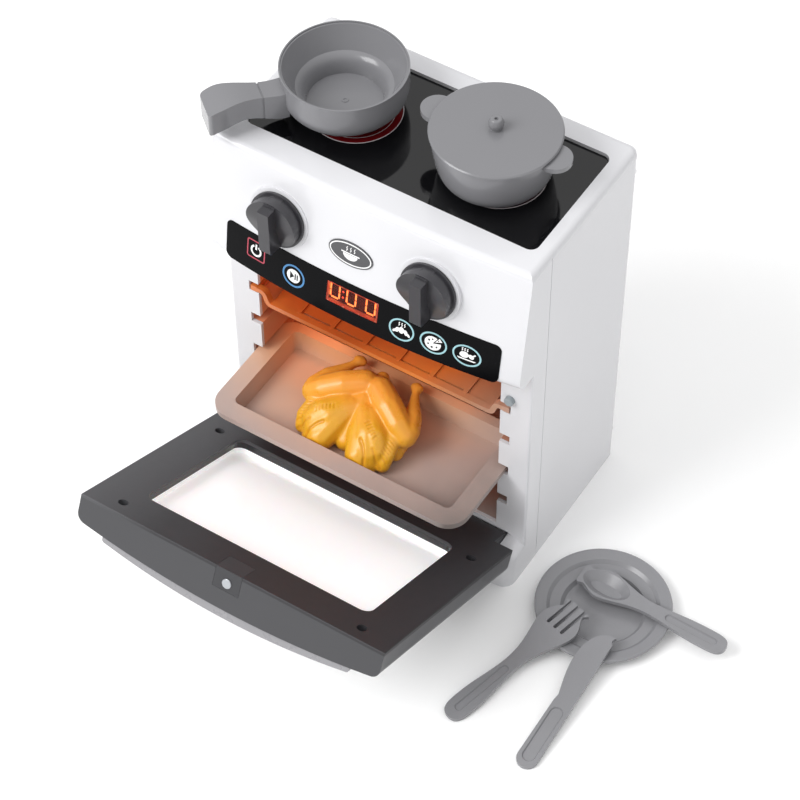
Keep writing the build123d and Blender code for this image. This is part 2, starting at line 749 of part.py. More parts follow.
# =====================================================================
# Oven liner: the cavity with its shelf grooves and the lamp's lens
# =====================================================================
with BuildPart() as oven_liner:
    block(
        (-LINER_SIDE, LINER_SIDE),
        (LINER_FRONT, CAVITY_BACK + LINER_WALL),
        (SILL_Z - LINER_WALL, PANEL_LOW + LINER_WALL),
    )
    block(
        (-CAVITY_HALF, CAVITY_HALF),
        (LINER_FRONT - 1, CAVITY_BACK),
        (SILL_Z, PANEL_LOW),
        Mode.SUBTRACT,
    )
    for index in range(GROOVE_COUNT):
        middle = groove_z(index)
        block(
            (-CAVITY_HALF - GROOVE_DEEP, CAVITY_HALF + GROOVE_DEEP),
            (LINER_FRONT - 1, CAVITY_BACK),
            (middle - GROOVE_TALL / 2, middle + GROOVE_TALL / 2),
            Mode.SUBTRACT,
        )
    # the outside follows the grooves, so the wall stays one thickness
    land = GROOVE_PITCH - GROOVE_TALL - 2 * LINER_WALL
    for index in range(GROOVE_COUNT - 1):
        middle = groove_z(index) + GROOVE_PITCH / 2
        for side in (-1, 1):
            inner = side * (CAVITY_HALF + LINER_WALL)
            outer = side * (LINER_SIDE + 1)
            block(
                (min(inner, outer), max(inner, outer)),
                (LINER_FRONT + 6, CAVITY_BACK + LINER_WALL + 1),
                (middle - land / 2, middle + land / 2),
                Mode.SUBTRACT,
            )
    top_land = (groove_z(GROOVE_COUNT - 1) + GROOVE_TALL / 2 + LINER_WALL, PANEL_LOW)
    low_land = (SILL_Z, groove_z(0) - GROOVE_TALL / 2 - LINER_WALL)
    for low, high in (top_land, low_land):
        for side in (-1, 1):
            inner = side * (CAVITY_HALF + LINER_WALL)
            outer = side * (LINER_SIDE + 1)
            block(
                (min(inner, outer), max(inner, outer)),
                (LINER_FRONT + 6, CAVITY_BACK + LINER_WALL + 1),
                (low, high),
                Mode.SUBTRACT,
            )
    with Locations(Plane(origin=(PLUNGER_X, LINER_FRONT, PLUNGER_Z), z_dir=(0, 1, 0))):
        Cylinder(PLUNGER_COLLAR + SEAT_GAP, 14, mode=Mode.SUBTRACT)
    # the lamp's window in the ceiling
    block(
        (LENS_X - LENS_LONG / 2, LENS_X + LENS_LONG / 2),
        (LENS_Y - LENS_DEEP / 2, LENS_Y + LENS_DEEP / 2),
        (PANEL_LOW - 1, PANEL_LOW + LINER_WALL + 1),
        Mode.SUBTRACT,
    )

with BuildPart() as oven_lamp_lens:
    block(
        (LENS_X - LENS_LONG / 2 + LENS_GAP, LENS_X + LENS_LONG / 2 - LENS_GAP),
        (LENS_Y - LENS_DEEP / 2 + LENS_GAP, LENS_Y + LENS_DEEP / 2 - LENS_GAP),
        (PANEL_LOW, PANEL_LOW + LINER_WALL),
    )
    block(
        (LENS_X - LENS_LONG / 2 - 2, LENS_X + LENS_LONG / 2 + 2),
        (LENS_Y - LENS_DEEP / 2 - 2, LENS_Y + LENS_DEEP / 2 + 2),
        (PANEL_LOW + LINER_WALL, PANEL_LOW + LINER_WALL + LENS_THICK),
    )

LAMP_TOP = PANEL_LOW + LINER_WALL + LENS_THICK

with BuildPart() as oven_lamp:
    block(
        (LENS_X - LENS_LONG / 2, LENS_X + LENS_LONG / 2),
        (LENS_Y - LENS_DEEP / 2, LENS_Y + LENS_DEEP / 2),
        (LAMP_TOP + LED_RADIUS, LAMP_TOP + LED_RADIUS + BOARD_THICK),
    )
    with Locations((LENS_X, LENS_Y, LAMP_TOP + LED_RADIUS / 2)):
        with GridLocations(LENS_LONG / 3, 1, 3, 1):
            Cylinder(LED_RADIUS, LED_RADIUS)

finish(oven_liner, "oven_liner")
finish(oven_lamp_lens, "oven_lamp_lens")
finish(oven_lamp, "oven_lamp")

# =====================================================================
# Hob: plate, two glowing burner rings and their lamps
# =====================================================================
def burner_places():
    """The middles of the two burners on the hob plate's top."""
    return [(-BURNER_X, HOB_MID_Y), (BURNER_X, HOB_MID_Y)]


with BuildPart() as hob_plate:
    with BuildSketch(Plane.XY.offset(HOB_LOW)):
        with Locations((0, HOB_MID_Y)):
            RectangleRounded(2 * HOB_HALF_X, HOB_DEPTH, HOB_CORNER)
    extrude(amount=HOB_THICK)
    with BuildSketch(Plane.XY.offset(HOB_TOP)):
        with Locations(*burner_places()):
            Circle(BURNER_OUTER)
            Circle(BURNER_INNER, mode=Mode.SUBTRACT)
    extrude(amount=-BURNER_SUNK, mode=Mode.SUBTRACT)
    with BuildSketch(Plane.XY.offset(HOB_LOW)):
        with Locations(*burner_places()):
            with PolarLocations(LED_RING, LEDS_PER_BURNER, start_angle=45):
                Circle(LED_RADIUS + LENS_GAP)
    extrude(amount=HOB_THICK, mode=Mode.SUBTRACT)
    # posts that carry the lamp boards
    with BuildSketch(Plane.XY.offset(HOB_LOW)):
        with Locations(*burner_places()):
            with PolarLocations(LED_RING, LEDS_PER_BURNER):
                Circle(BOSS_HOLE + 1)
    extrude(amount=-WALL)

for name, place in zip(("burner_ring_left", "burner_ring_right"), burner_places()):
    with BuildPart() as burner_ring:
        with BuildSketch(Plane.XY.offset(HOB_TOP - BURNER_SUNK)):
            with Locations(place):
                Circle(BURNER_OUTER - LENS_GAP)
                Circle(BURNER_INNER + LENS_GAP, mode=Mode.SUBTRACT)
        extrude(amount=BURNER_SUNK)
    finish(burner_ring, name)

HOB_BOARD_TOP = HOB_LOW - WALL

with BuildPart() as hob_lamps:
    with BuildSketch(Plane.XY.offset(HOB_BOARD_TOP)):
        with Locations(*burner_places()):
            with PolarLocations(LED_RING, LEDS_PER_BURNER, start_angle=45):
                Circle(LED_RADIUS)
    extrude(amount=WALL + HOB_THICK - BURNER_SUNK)

with BuildPart() as hob_lamp_boards:
    with BuildSketch(Plane.XY.offset(HOB_BOARD_TOP)):
        with Locations(*burner_places()):
            Circle(LED_RING + 2 * LED_RADIUS)
            Circle(LED_RING - 2 * LED_RADIUS, mode=Mode.SUBTRACT)
    extrude(amount=-BOARD_THICK)

finish(hob_plate, "hob_plate")
finish(hob_lamps, "hob_lamps")
finish(hob_lamp_boards, "hob_lamp_boards")

# =====================================================================
# Control label, display and electronics behind the panel
# =====================================================================
def label_prism(wide, tall, corner, x, z):
    """A rounded bar through the control panel, seen from the front."""
    with BuildPart(mode=Mode.PRIVATE) as prism:
        with BuildSketch(Plane.XZ.offset(-FRONT)):
            with Locations((x, z)):
                RectangleRounded(wide, tall, corner)
        extrude(amount=2 * PANEL_BULGE_LOW)
    return prism.part


def panel_skin(proud, name):
    """The panel's solid moved forward, to cut the label and display from."""
    with BuildPart(mode=Mode.PRIVATE) as skin:
        loft(sections=panel_sections(0), ruled=True)
    skin.part.label = name
    return skin.part.moved(Location((0, -proud, 0)))


LABEL_Z = LABEL_LOW + LABEL_TALL / 2
label_cut = label_prism(2 * LABEL_HALF, LABEL_TALL, LABEL_CORNER, 0, LABEL_Z)
display_cut = label_prism(DISPLAY_WIDE, DISPLAY_TALL, 0.8, DISPLAY_X, DISPLAY_Z)

with BuildPart() as control_label:
    add(panel_skin(LABEL_THICK, "label_skin"))
    add(label_cut, mode=Mode.INTERSECT)
    add(panel_skin(0, "panel_skin"), mode=Mode.SUBTRACT)
    add(display_cut, mode=Mode.SUBTRACT)

with BuildPart() as display_window:
    add(panel_skin(LABEL_THICK, "display_skin"))
    add(display_cut, mode=Mode.INTERSECT)
    add(panel_skin(0, "panel_skin"), mode=Mode.SUBTRACT)

with BuildPart(mode=Mode.PRIVATE) as badge_bar:
    with BuildSketch(Plane.XZ.offset(-FRONT)):
        with Locations((BADGE_X, BADGE_Z)):
            Ellipse(BADGE_WIDE / 2, BADGE_TALL / 2)
    extrude(amount=2 * PANEL_BULGE_LOW)

with BuildPart() as badge:
    add(panel_skin(BADGE_THICK, "badge_skin"))
    add(badge_bar.part, mode=Mode.INTERSECT)
    add(panel_skin(0, "panel_skin"), mode=Mode.SUBTRACT)

finish(badge, "badge")
finish(control_label, "control_label")
finish(display_window, "display_window")

with BuildPart() as control_board:
    block(
        (-BOARD_HALF, BOARD_HALF),
        (BOARD_FRONT, BOARD_FRONT + BOARD_THICK),
        (BOARD_LOW, BOARD_HIGH),
    )
    with Locations((CHIP_X, BOARD_FRONT + BOARD_THICK + CHIP_TALL / 2, POST_Z)):
        Box(CHIP_SIDE, CHIP_TALL, CHIP_SIDE)
    with Locations((CAN_X, BOARD_FRONT + BOARD_THICK + CAN_TALL / 2, POST_Z)):
        with GridLocations(CAN_PITCH, 1, 3, 1):
            Cylinder(CAN_RADIUS, CAN_TALL, rotation=(90, 0, 0))
    with BuildSketch(Plane.XZ.offset(-BOARD_FRONT)):
        with Locations(*post_places()):
            Circle(SCREW_SHANK)
    extrude(amount=-BOARD_THICK, mode=Mode.SUBTRACT)

with BuildPart() as display_module:
    block(
        (DISPLAY_X - DISPLAY_WIDE / 2, DISPLAY_X + DISPLAY_WIDE / 2),
        (panel_face(DISPLAY_X, DISPLAY_Z + DISPLAY_TALL / 2) + WALL + 1, BOARD_FRONT),
        (DISPLAY_Z - DISPLAY_TALL / 2, DISPLAY_Z + DISPLAY_TALL / 2),
    )

finish(control_board, "control_board")
finish(display_module, "display_module")

# =====================================================================
# Knobs, shafts and the rotary switches behind them
# =====================================================================
def knob_shape(plane):
    """A thin disc, a drum whose face slopes down to the label, and a tall bar across it."""
    base = KNOB_PAD_PROUD + KNOB_LIFT
    side_view = Plane(origin=plane.origin, x_dir=plane.y_dir, z_dir=plane.x_dir)
    with BuildPart(mode=Mode.PRIVATE) as drum:
        with BuildSketch(plane.offset(base)):
            Circle(DRUM_RADIUS)
        extrude(amount=GRIP_HIGH)
        with BuildSketch(side_view) as away:
            with BuildLine():
                Spline(*DRUM_SLOPE)
                high, low = DRUM_SLOPE[0], DRUM_SLOPE[-1]
                Polyline(high, (high[0], 2 * GRIP_HIGH), (low[0], 2 * GRIP_HIGH), low)
            make_face()
        extrude(away.sketch, amount=KNOB_RADIUS, both=True, mode=Mode.SUBTRACT)
    with BuildPart(mode=Mode.PRIVATE) as bar:
        with BuildSketch(side_view) as outline:
            with BuildLine():
                Polyline(
                    (GRIP_TOP + GRIP_STEP, base),
                    (GRIP_TOP, GRIP_LOW),
                    (GRIP_TOP - GRIP_STEP, GRIP_LOW),
                    (GRIP_TOP - 2 * GRIP_STEP, GRIP_HIGH),
                    (-KNOB_RADIUS + GRIP_STEP, GRIP_LOW + GRIP_STEP / 2),
                    (-KNOB_RADIUS, GRIP_LOW - GRIP_STEP / 2),
                    (-KNOB_RADIUS, base),
                    (GRIP_TOP + GRIP_STEP, base),
                )
            make_face()
        extrude(outline.sketch, amount=GRIP_WIDE / 2, both=True)
    with BuildPart() as knob:
        with BuildSketch(plane.offset(base)):
            Circle(KNOB_RADIUS)
        extrude(amount=KNOB_DISC)
        add(drum.part)
        add(bar.part)
        with BuildSketch(plane):
            Circle(SHAFT_RADIUS)
        extrude(amount=SHAFT_OUT, mode=Mode.SUBTRACT)
    return knob


for side, name in ((-1, "left"), (1, "right")):
    place = knob_plane(KNOB_MID_X + side * KNOB_X)
    finish(knob_shape(place), f"knob_{name}")
    with BuildPart() as knob_shaft:
        with BuildSketch(place.offset(-SHAFT_IN)):
            Circle(SHAFT_RADIUS)
        extrude(amount=SHAFT_IN + SHAFT_OUT)
    finish(knob_shaft, f"knob_shaft_{name}")
    with BuildPart() as rotary_switch:
        with BuildSketch(place.offset(-SWITCH_SEAT - SWITCH_DEEP)):
            RectangleRounded(2 * SWITCH_HALF, 2 * SWITCH_HALF, 1)
            Circle(SHAFT_RADIUS + SHAFT_CLEAR, mode=Mode.SUBTRACT)
        extrude(amount=SWITCH_DEEP)
    finish(rotary_switch, f"rotary_switch_{name}")

# =====================================================================
# Door, drawn in its own plane: X right, Y up the door, Z out of its face
# =====================================================================
swing = radians(DOOR_OPEN)
DOOR = Plane(
    origin=(0, HINGE_Y, HINGE_Z),
    x_dir=(1, 0, 0),
    z_dir=(0, -cos(swing), -sin(swing)),
)


def door_plan(up):
    """The plane across the door at one height, with its Y out of the face."""
    return Plane(
        origin=DOOR.from_local_coords((0, up, 0)),
        x_dir=DOOR.x_dir,
        z_dir=-DOOR.y_dir,
    )


def door_bow(up, inset, back):
    """The door's bowed outline across its width."""
    return bowed(door_plan(up), DOOR_HALF - inset, DOOR_NOSE - inset, BOW_RADIUS, back)


def screw_places():
    """The four door screws, in the door's plane."""
    places = []
    for x, up in zip(DOOR_SCREW_X, (DOOR_SCREW_LOW, DOOR_TOP - DOOR_SCREW_FROM_TOP)):
        places += [(-x, up), (x, up)]
    return places


LATCH_Z = DOOR_BACK + LATCH_FROM_BACK

with BuildPart(DOOR) as door_inner_panel:
    block((-DOOR_HALF, DOOR_HALF), (DOOR_LOW, DOOR_TOP), (DOOR_BACK, DOOR_SHELL))
    block((-SKIRT_HALF, SKIRT_HALF), (-SKIRT_DROP, DOOR_LOW), (DOOR_BACK, DOOR_SHELL))
    inward = Axis(DOOR.origin, -DOOR.z_dir)
    fillet(door_inner_panel.faces().sort_by(inward)[-1].edges(), DOOR_EDGE_ROUND)
    with BuildSketch(DOOR.offset(DOOR_BACK)):
        with Locations((0, (WINDOW_LOW + WINDOW_TOP) / 2)):
            RectangleRounded(2 * WINDOW_HALF, WINDOW_TALL, WINDOW_CORNER)
    extrude(amount=DOOR_PLATE, mode=Mode.SUBTRACT)
    with BuildSketch(DOOR.offset(DOOR_SHELL)):
        with Locations(*screw_places()):
            Circle(SCREW_WELL + SCREW_WELL_WALL)
    extrude(amount=SCREW_WELL_DEEP)
    with BuildSketch(DOOR.offset(DOOR_BACK)):
        with Locations(*screw_places()):
            Circle(SCREW_WELL)
    extrude(amount=DOOR_PLATE + SCREW_WELL_DEEP - WELL_FLOOR, mode=Mode.SUBTRACT)
    with BuildSketch(DOOR.offset(DOOR_BACK)):
        with Locations(*screw_places()):
            Circle(SCREW_SHANK + PIN_CLEAR)
    extrude(amount=DOOR_PLATE + SCREW_WELL_DEEP, mode=Mode.SUBTRACT)
    block(
        (-LATCH_BLOCK_HALF - BLOCK_GAP, LATCH_BLOCK_HALF + BLOCK_GAP),
        (DOOR_TOP - LATCH_BLOCK_TALL - BLOCK_GAP, DOOR_TOP + 1),
        (DOOR_BACK - 1, DOOR_SHELL + 1),
        Mode.SUBTRACT,
    )

with BuildPart() as door_cavity:
    extrude(
        door_bow(DOOR_TOP - DOOR_WALL, DOOR_WALL, DOOR_SHELL - 1),
        amount=DOOR_LENGTH - 2 * DOOR_WALL,
    )
    with BuildSketch(DOOR.offset(DOOR_SHELL - 2)):
        with Locations((0, (WINDOW_LOW + WINDOW_TOP) / 2)):
            RectangleRounded(
                2 * (WINDOW_HALF + DOOR_WALL),
                WINDOW_TALL + 2 * DOOR_WALL,
                WINDOW_CORNER + DOOR_WALL,
            )
    extrude(amount=2 * DOOR_BULGE, mode=Mode.SUBTRACT)
    with BuildSketch(DOOR.offset(DOOR_SHELL - 2)):
        with Locations(*screw_places()):
            Circle(SCREW_WELL + SCREW_WELL_WALL)
    extrude(amount=2 * DOOR_BULGE, mode=Mode.SUBTRACT)

slant = BARREL_RADIUS * sin(radians(45))

with BuildPart() as door_outer_shell:
    extrude(door_bow(DOOR_TOP, 0, DOOR_SHELL), amount=DOOR_LENGTH)
    long_edges = door_outer_shell.edges().filter_by(Axis(DOOR.origin, DOOR.y_dir))
    outward = Axis(DOOR.origin, DOOR.z_dir)
    fillet(long_edges.group_by(outward)[-1], DOOR_CORNER)
    add(door_cavity.part, mode=Mode.SUBTRACT)
    with BuildSketch(Plane(origin=DOOR.origin, x_dir=DOOR.y_dir, z_dir=DOOR.x_dir)):
        with BuildLine():
            Polyline(
                (0, BARREL_RADIUS),
                (DOOR_LOW, BARREL_RADIUS),
                (DOOR_LOW, DOOR_SHELL),
                (-SKIRT_DROP, DOOR_SHELL),
                (-SKIRT_DROP, DOOR_SHELL + 6),
                (-BARREL_RADIUS, 0),
            )
            ThreePointArc(
                (-BARREL_RADIUS, 0),
                (-slant, slant),
                (0, BARREL_RADIUS),
            )
        make_face()
    extrude(amount=SKIRT_HALF, both=True)
    # the window, the pane's recess, the wells' posts and the latch's pocket
    with BuildSketch(DOOR.offset(DOOR_SHELL)):
        with Locations((0, (WINDOW_LOW + WINDOW_TOP) / 2)):
            RectangleRounded(2 * WINDOW_HALF, WINDOW_TALL, WINDOW_CORNER)
    extrude(amount=2 * DOOR_BULGE, mode=Mode.SUBTRACT)
    with BuildSketch(DOOR.offset(DOOR_SHELL)):
        with Locations((0, (WINDOW_LOW + WINDOW_TOP) / 2)):
            RectangleRounded(
                2 * (WINDOW_HALF + PANE_LAP + BLOCK_GAP),
                WINDOW_TALL + 2 * (PANE_LAP + BLOCK_GAP),
                WINDOW_CORNER,
            )
    extrude(amount=PANE_DEEP - DOOR_PLATE + PANE_THICK, mode=Mode.SUBTRACT)
    with BuildSketch(DOOR.offset(DOOR_SHELL)):
        with Locations(*screw_places()):
            Circle(SCREW_WELL + SCREW_WELL_WALL + PIN_CLEAR)
    extrude(amount=SCREW_WELL_DEEP, mode=Mode.SUBTRACT)
    with BuildSketch(DOOR.offset(DOOR_SHELL)):
        with Locations(*screw_places()):
            Circle(SCREW_SHANK)
    extrude(amount=SCREW_WELL_DEEP + 7, mode=Mode.SUBTRACT)
    block_depth = DOOR_BACK + LATCH_BLOCK_DEEP + BLOCK_GAP
    with BuildSketch(DOOR.offset(DOOR_SHELL - 1)):
        with Locations((0, DOOR_TOP - LATCH_BLOCK_TALL / 2)):
            Rectangle(
                2 * (LATCH_BLOCK_HALF + BLOCK_GAP),
                LATCH_BLOCK_TALL + 2 * BLOCK_GAP,
            )
    extrude(amount=block_depth - DOOR_SHELL + 1, mode=Mode.SUBTRACT)
    for side in (-1, 1):
        centre = (side * (SKIRT_HALF - (PIN_LENGTH - PIN_OUT) / 2), HINGE_Y, HINGE_Z)
        with Locations(Plane(origin=centre, z_dir=(1, 0, 0))):
            Cylinder(PIN_RADIUS, PIN_LENGTH - PIN_OUT, mode=Mode.SUBTRACT)

# the pane is moulded with a wall all round, which the inner panel holds down
with BuildPart(DOOR) as door_window:
    with BuildSketch(DOOR.offset(DOOR_BACK + PANE_DEEP)):
        with Locations((0, (WINDOW_LOW + WINDOW_TOP) / 2)):
            RectangleRounded(
                2 * (WINDOW_HALF + PANE_LAP), WINDOW_TALL + 2 * PANE_LAP, WINDOW_CORNER
            )
    extrude(amount=PANE_THICK)
    with BuildSketch(DOOR.offset(DOOR_SHELL)) as pane_wall:
        with Locations((0, (WINDOW_LOW + WINDOW_TOP) / 2)):
            RectangleRounded(
                2 * (WINDOW_HALF + PANE_FRAME),
                WINDOW_TALL + 2 * PANE_FRAME,
                WINDOW_CORNER + PANE_FRAME,
            )
            RectangleRounded(
                2 * WINDOW_HALF, WINDOW_TALL, WINDOW_CORNER, mode=Mode.SUBTRACT
            )
    extrude(pane_wall.sketch, amount=PANE_DEEP - DOOR_PLATE)

with BuildPart() as door_screws:
    with BuildSketch(DOOR.offset(DOOR_SHELL + SCREW_WELL_DEEP - WELL_FLOOR)):
        with Locations(*screw_places()):
            Circle(SCREW_HEAD)
            SlotOverall(0.6 * 2 * SCREW_HEAD, 0.9, mode=Mode.SUBTRACT)
            SlotOverall(0.6 * 2 * SCREW_HEAD, 0.9, rotation=90, mode=Mode.SUBTRACT)
    extrude(amount=-2.0)
    with BuildSketch(DOOR.offset(DOOR_SHELL + SCREW_WELL_DEEP - WELL_FLOOR)):
        with Locations(*screw_places()):
            Circle(SCREW_SHANK)
    extrude(amount=-0.8)
    with BuildSketch(DOOR.offset(DOOR_SHELL + SCREW_WELL_DEEP - WELL_FLOOR)):
        with Locations(*screw_places()):
            Circle(SCREW_SHANK)
    extrude(amount=WELL_FLOOR + 6)

with BuildPart() as hinge_pins:
    for side in (-1, 1):
        centre = (side * (SKIRT_HALF + PIN_OUT - PIN_LENGTH / 2), HINGE_Y, HINGE_Z)
        with Locations(Plane(origin=centre, z_dir=(1, 0, 0))):
            Cylinder(PIN_RADIUS, PIN_LENGTH)

HANDLE_TOP = DOOR_TOP - HANDLE_SET_BACK


def handle_face(up, grow, half, closed):
    """The crescent between the door's face and the handle's own, tighter arc."""
    mid = DOOR_NOSE + HANDLE_STAND - grow
    end = mid - sag(half, HANDLE_RADIUS)
    foot = DOOR_NOSE - sag(half, BOW_RADIUS)
    with BuildSketch(door_plan(up)) as crescent:
        with BuildLine():
            ThreePointArc((-half, end), (0, mid), (half, end))
            Line((half, end), (half, foot - closed))
            ThreePointArc((half, foot - closed), (0, DOOR_NOSE - closed), (-half, foot - closed))
            Line((-half, foot - closed), (-half, end))
        make_face()
    return crescent.sketch


with BuildPart() as door_handle:
    extrude(handle_face(HANDLE_TOP, 0, HANDLE_HALF, 0), amount=HANDLE_TALL)
    upright = door_handle.edges().filter_by(Axis(DOOR.origin, DOOR.y_dir))
    fillet(upright.group_by(Axis(DOOR.origin, DOOR.z_dir))[-1], HANDLE_END_ROUND)
    extrude(
        handle_face(HANDLE_TOP - HANDLE_WALL, HANDLE_WALL, GRIP_HALF, 1),
        amount=HANDLE_TALL,
        mode=Mode.SUBTRACT,
    )

with BuildPart(DOOR) as latch_block:
    block(
        (-LATCH_BLOCK_HALF, LATCH_BLOCK_HALF),
        (DOOR_TOP - LATCH_BLOCK_TALL, DOOR_TOP),
        (DOOR_BACK, DOOR_BACK + LATCH_BLOCK_DEEP),
    )
    latch_line = Plane(
        origin=DOOR.from_local_coords((0, DOOR_TOP, LATCH_Z)),
        x_dir=DOOR.x_dir,
        z_dir=DOOR.y_dir,
    )
    with BuildSketch(latch_line):
        Circle(LATCH_RADIUS + SLIDE_CLEAR)
    extrude(amount=-(LATCH_BLOCK_TALL - LATCH_FLOOR), mode=Mode.SUBTRACT)

with BuildPart() as latch_pin:
    with BuildSketch(latch_line.offset(-LATCH_LONG)):
        Circle(LATCH_RADIUS)
    extrude(amount=LATCH_LONG + LATCH_PROUD)
    fillet(latch_pin.edges().sort_by(Axis(DOOR.origin, DOOR.y_dir))[-1], 0.4)

for built, name in (
    (door_inner_panel, "door_inner_panel"),
    (door_outer_shell, "door_outer_shell"),
    (door_window, "door_window"),
    (door_screws, "door_screws"),
    (hinge_pins, "hinge_pins"),
    (door_handle, "door_handle"),
    (latch_block, "latch_block"),
    (latch_pin, "latch_pin"),
):
    finish(built, name)

# =====================================================================
# Springs, plunger and door switch
# =====================================================================
def spring_tube(plane, radius, wall, length):
    """A close-wound spring's outer shape: an open tube along the plane's Z."""
    with BuildPart() as tube:
        with BuildSketch(plane):
            Circle(radius)
            Circle(radius - wall, mode=Mode.SUBTRACT)
        extrude(amount=length)
    return tube


PLUNGER_TIP = FRONT - PLUNGER_OUT
SHOULDER_Y = PLUNGER_TIP + PLUNGER_LONG
plunger_line = Plane(origin=(PLUNGER_X, PLUNGER_TIP, PLUNGER_Z), z_dir=(0, 1, 0))

with BuildPart() as switch_plunger:
    with BuildSketch(plunger_line):
        Circle(PLUNGER_RADIUS)
    extrude(amount=PLUNGER_LONG)
    fillet(switch_plunger.edges().sort_by(Axis.Y)[0], 0.8)
    with BuildSketch(plunger_line.offset(PLUNGER_OUT + WALL + SEAT_GAP)):
        Circle(PLUNGER_COLLAR)
    extrude(amount=1.5)
    with BuildSketch(plunger_line.offset(PLUNGER_LONG)):
        Circle(PLUNGER_STEM)
    extrude(amount=STEM_LONG - PLUNGER_TRAVEL - SEAT_GAP)

SPRING_LONG = SWITCH_BOX_Y - SHOULDER_Y - PLUNGER_TRAVEL - SEAT_GAP
finish(switch_plunger, "switch_plunger")
finish(
    spring_tube(plunger_line.offset(PLUNGER_LONG), SPRING_RADIUS, SPRING_WALL, SPRING_LONG),
    "plunger_spring",
)

with BuildPart() as door_switch:
    block(
        (PLUNGER_X - SWITCH_BOX_WIDE / 2, PLUNGER_X + SWITCH_BOX_WIDE / 2),
        (SWITCH_BOX_Y, SWITCH_BOX_Y + SWITCH_BOX_LONG),
        (PLUNGER_Z - SWITCH_BOX_TALL / 2, PLUNGER_Z + SWITCH_BOX_TALL / 2),
    )

finish(door_switch, "door_switch")

LATCH_BACK = latch_line.offset(-(LATCH_BLOCK_TALL - LATCH_FLOOR))
LATCH_ROOM = LATCH_BLOCK_TALL - LATCH_FLOOR - LATCH_LONG
finish(
    spring_tube(
        LATCH_BACK,
        LATCH_RADIUS - 0.6,
        SPRING_WALL,
        LATCH_ROOM - LATCH_TRAVEL - SEAT_GAP / 2,
    ),
    "latch_spring",
)

# =====================================================================
# Speaker, batteries and their cover
# =====================================================================
WALL_IN = BACK - WALL

with BuildPart() as speaker:
    with BuildSketch(Plane(origin=(SPEAKER_X, WALL_IN, SPEAKER_Z), x_dir=(1, 0, 0), z_dir=(0, 0, 1))):
        with BuildLine():
            Polyline(
                (0, -2.5),
                (SPEAKER_RADIUS * 0.45, -2.5),
                (SPEAKER_RADIUS * 0.85, 0),
                (SPEAKER_RADIUS, 0),
                (SPEAKER_RADIUS, -2),
                (SPEAKER_RADIUS * 0.6, -SPEAKER_DEEP * 0.6),
                (SPEAKER_RADIUS * 0.6, -SPEAKER_DEEP),
                (0, -SPEAKER_DEEP),
                (0, -2.5),
            )
        make_face()
    revolve(axis=Axis((SPEAKER_X, 0, SPEAKER_Z), (0, 1, 0)))

finish(speaker, "speaker")

BOX_DEEP = 2 * CELL_RADIUS + BOX_WALL + 2 * COVER_GAP

with BuildPart() as battery_box:
    with BuildSketch(Plane.XZ.offset(-WALL_IN)):
        with Locations((0, BATTERY_Z)):
            RectangleRounded(OPENING_WIDE + 2 * BOX_WALL, OPENING_TALL + 2 * BOX_WALL, 3)
    extrude(amount=BOX_DEEP)
    with BuildSketch(Plane.XZ.offset(-WALL_IN)):
        with Locations((0, BATTERY_Z)):
            RectangleRounded(OPENING_WIDE, OPENING_TALL, 2)
    extrude(amount=BOX_DEEP - BOX_WALL, mode=Mode.SUBTRACT)


def cell_line(index, x):
    """The plane across one cell at X, with its Z along the cell."""
    z = BATTERY_Z + (index - (CELL_COUNT - 1) / 2) * (2 * CELL_RADIUS + CELL_GAP)
    y = WALL_IN - BOX_DEEP + BOX_WALL + CELL_RADIUS
    return Plane(origin=(x, y, z), z_dir=(1, 0, 0))


CELL_BODY = CELL_LONG - BUTTON_LONG

with BuildPart() as batteries:
    for index in range(CELL_COUNT):
        way = 1 if index % 2 == 0 else -1
        start = -way * CELL_LONG / 2
        with BuildSketch(cell_line(index, start)):
            Circle(CELL_RADIUS)
        extrude(amount=way * CELL_BODY)
        with BuildSketch(cell_line(index, start + way * CELL_BODY)):
            Circle(BOSS_RADIUS)
        extrude(amount=way * BUTTON_LONG)

with BuildPart() as battery_contacts:
    for index in range(CELL_COUNT):
        for side in (-1, 1):
            outer = side * (OPENING_WIDE / 2 - CONTACT_THICK)
            with BuildSketch(cell_line(index, outer)):
                Rectangle(1.4 * CELL_RADIUS, 1.4 * CELL_RADIUS)
            extrude(amount=side * CONTACT_THICK)
            with BuildSketch(cell_line(index, side * CELL_LONG / 2)):
                Circle(SPRING_RADIUS)
                Circle(SPRING_RADIUS - SPRING_WALL, mode=Mode.SUBTRACT)
            extrude(amount=outer - side * CELL_LONG / 2)

with BuildPart() as battery_cover:
    extrude(cover_face(COVER_GAP), amount=COVER_THICK)
    with BuildSketch(Plane.XZ.offset(-BACK)):
        with Locations((0, COVER_SCREW_Z)):
            Circle(SCREW_SHANK + PIN_CLEAR)
    extrude(amount=COVER_THICK, mode=Mode.SUBTRACT)
    with BuildSketch(Plane.XZ.offset(-BACK)):
        with Locations((0, BATTERY_Z)):
            with GridLocations(0, 4, 1, 4):
                SlotOverall(OPENING_WIDE / 3, 1.6)
    extrude(amount=COVER_THICK / 2, mode=Mode.SUBTRACT)


def screw(line, shank, reach):
    """A pan-head screw with a cross slot: the line's Z points out of its head."""
    with BuildSketch(line) as head:
        Circle(SCREW_HEAD)
    extrude(head.sketch, amount=HEAD_TALL)
    with BuildSketch(line.offset(HEAD_TALL)) as slots:
        Rectangle(1.3 * SCREW_HEAD, 0.9)
        Rectangle(0.9, 1.3 * SCREW_HEAD)
    extrude(slots.sketch, amount=-HEAD_TALL / 2, mode=Mode.SUBTRACT)
    with BuildSketch(line) as stem:
        Circle(shank)
    extrude(stem.sketch, amount=-reach)


GRIP_SHANK = BOSS_HOLE - 0.02

with BuildPart() as battery_cover_screw:
    screw(Plane(origin=(0, BACK, COVER_SCREW_Z), z_dir=(0, 1, 0)), GRIP_SHANK, BOSS_TALL)

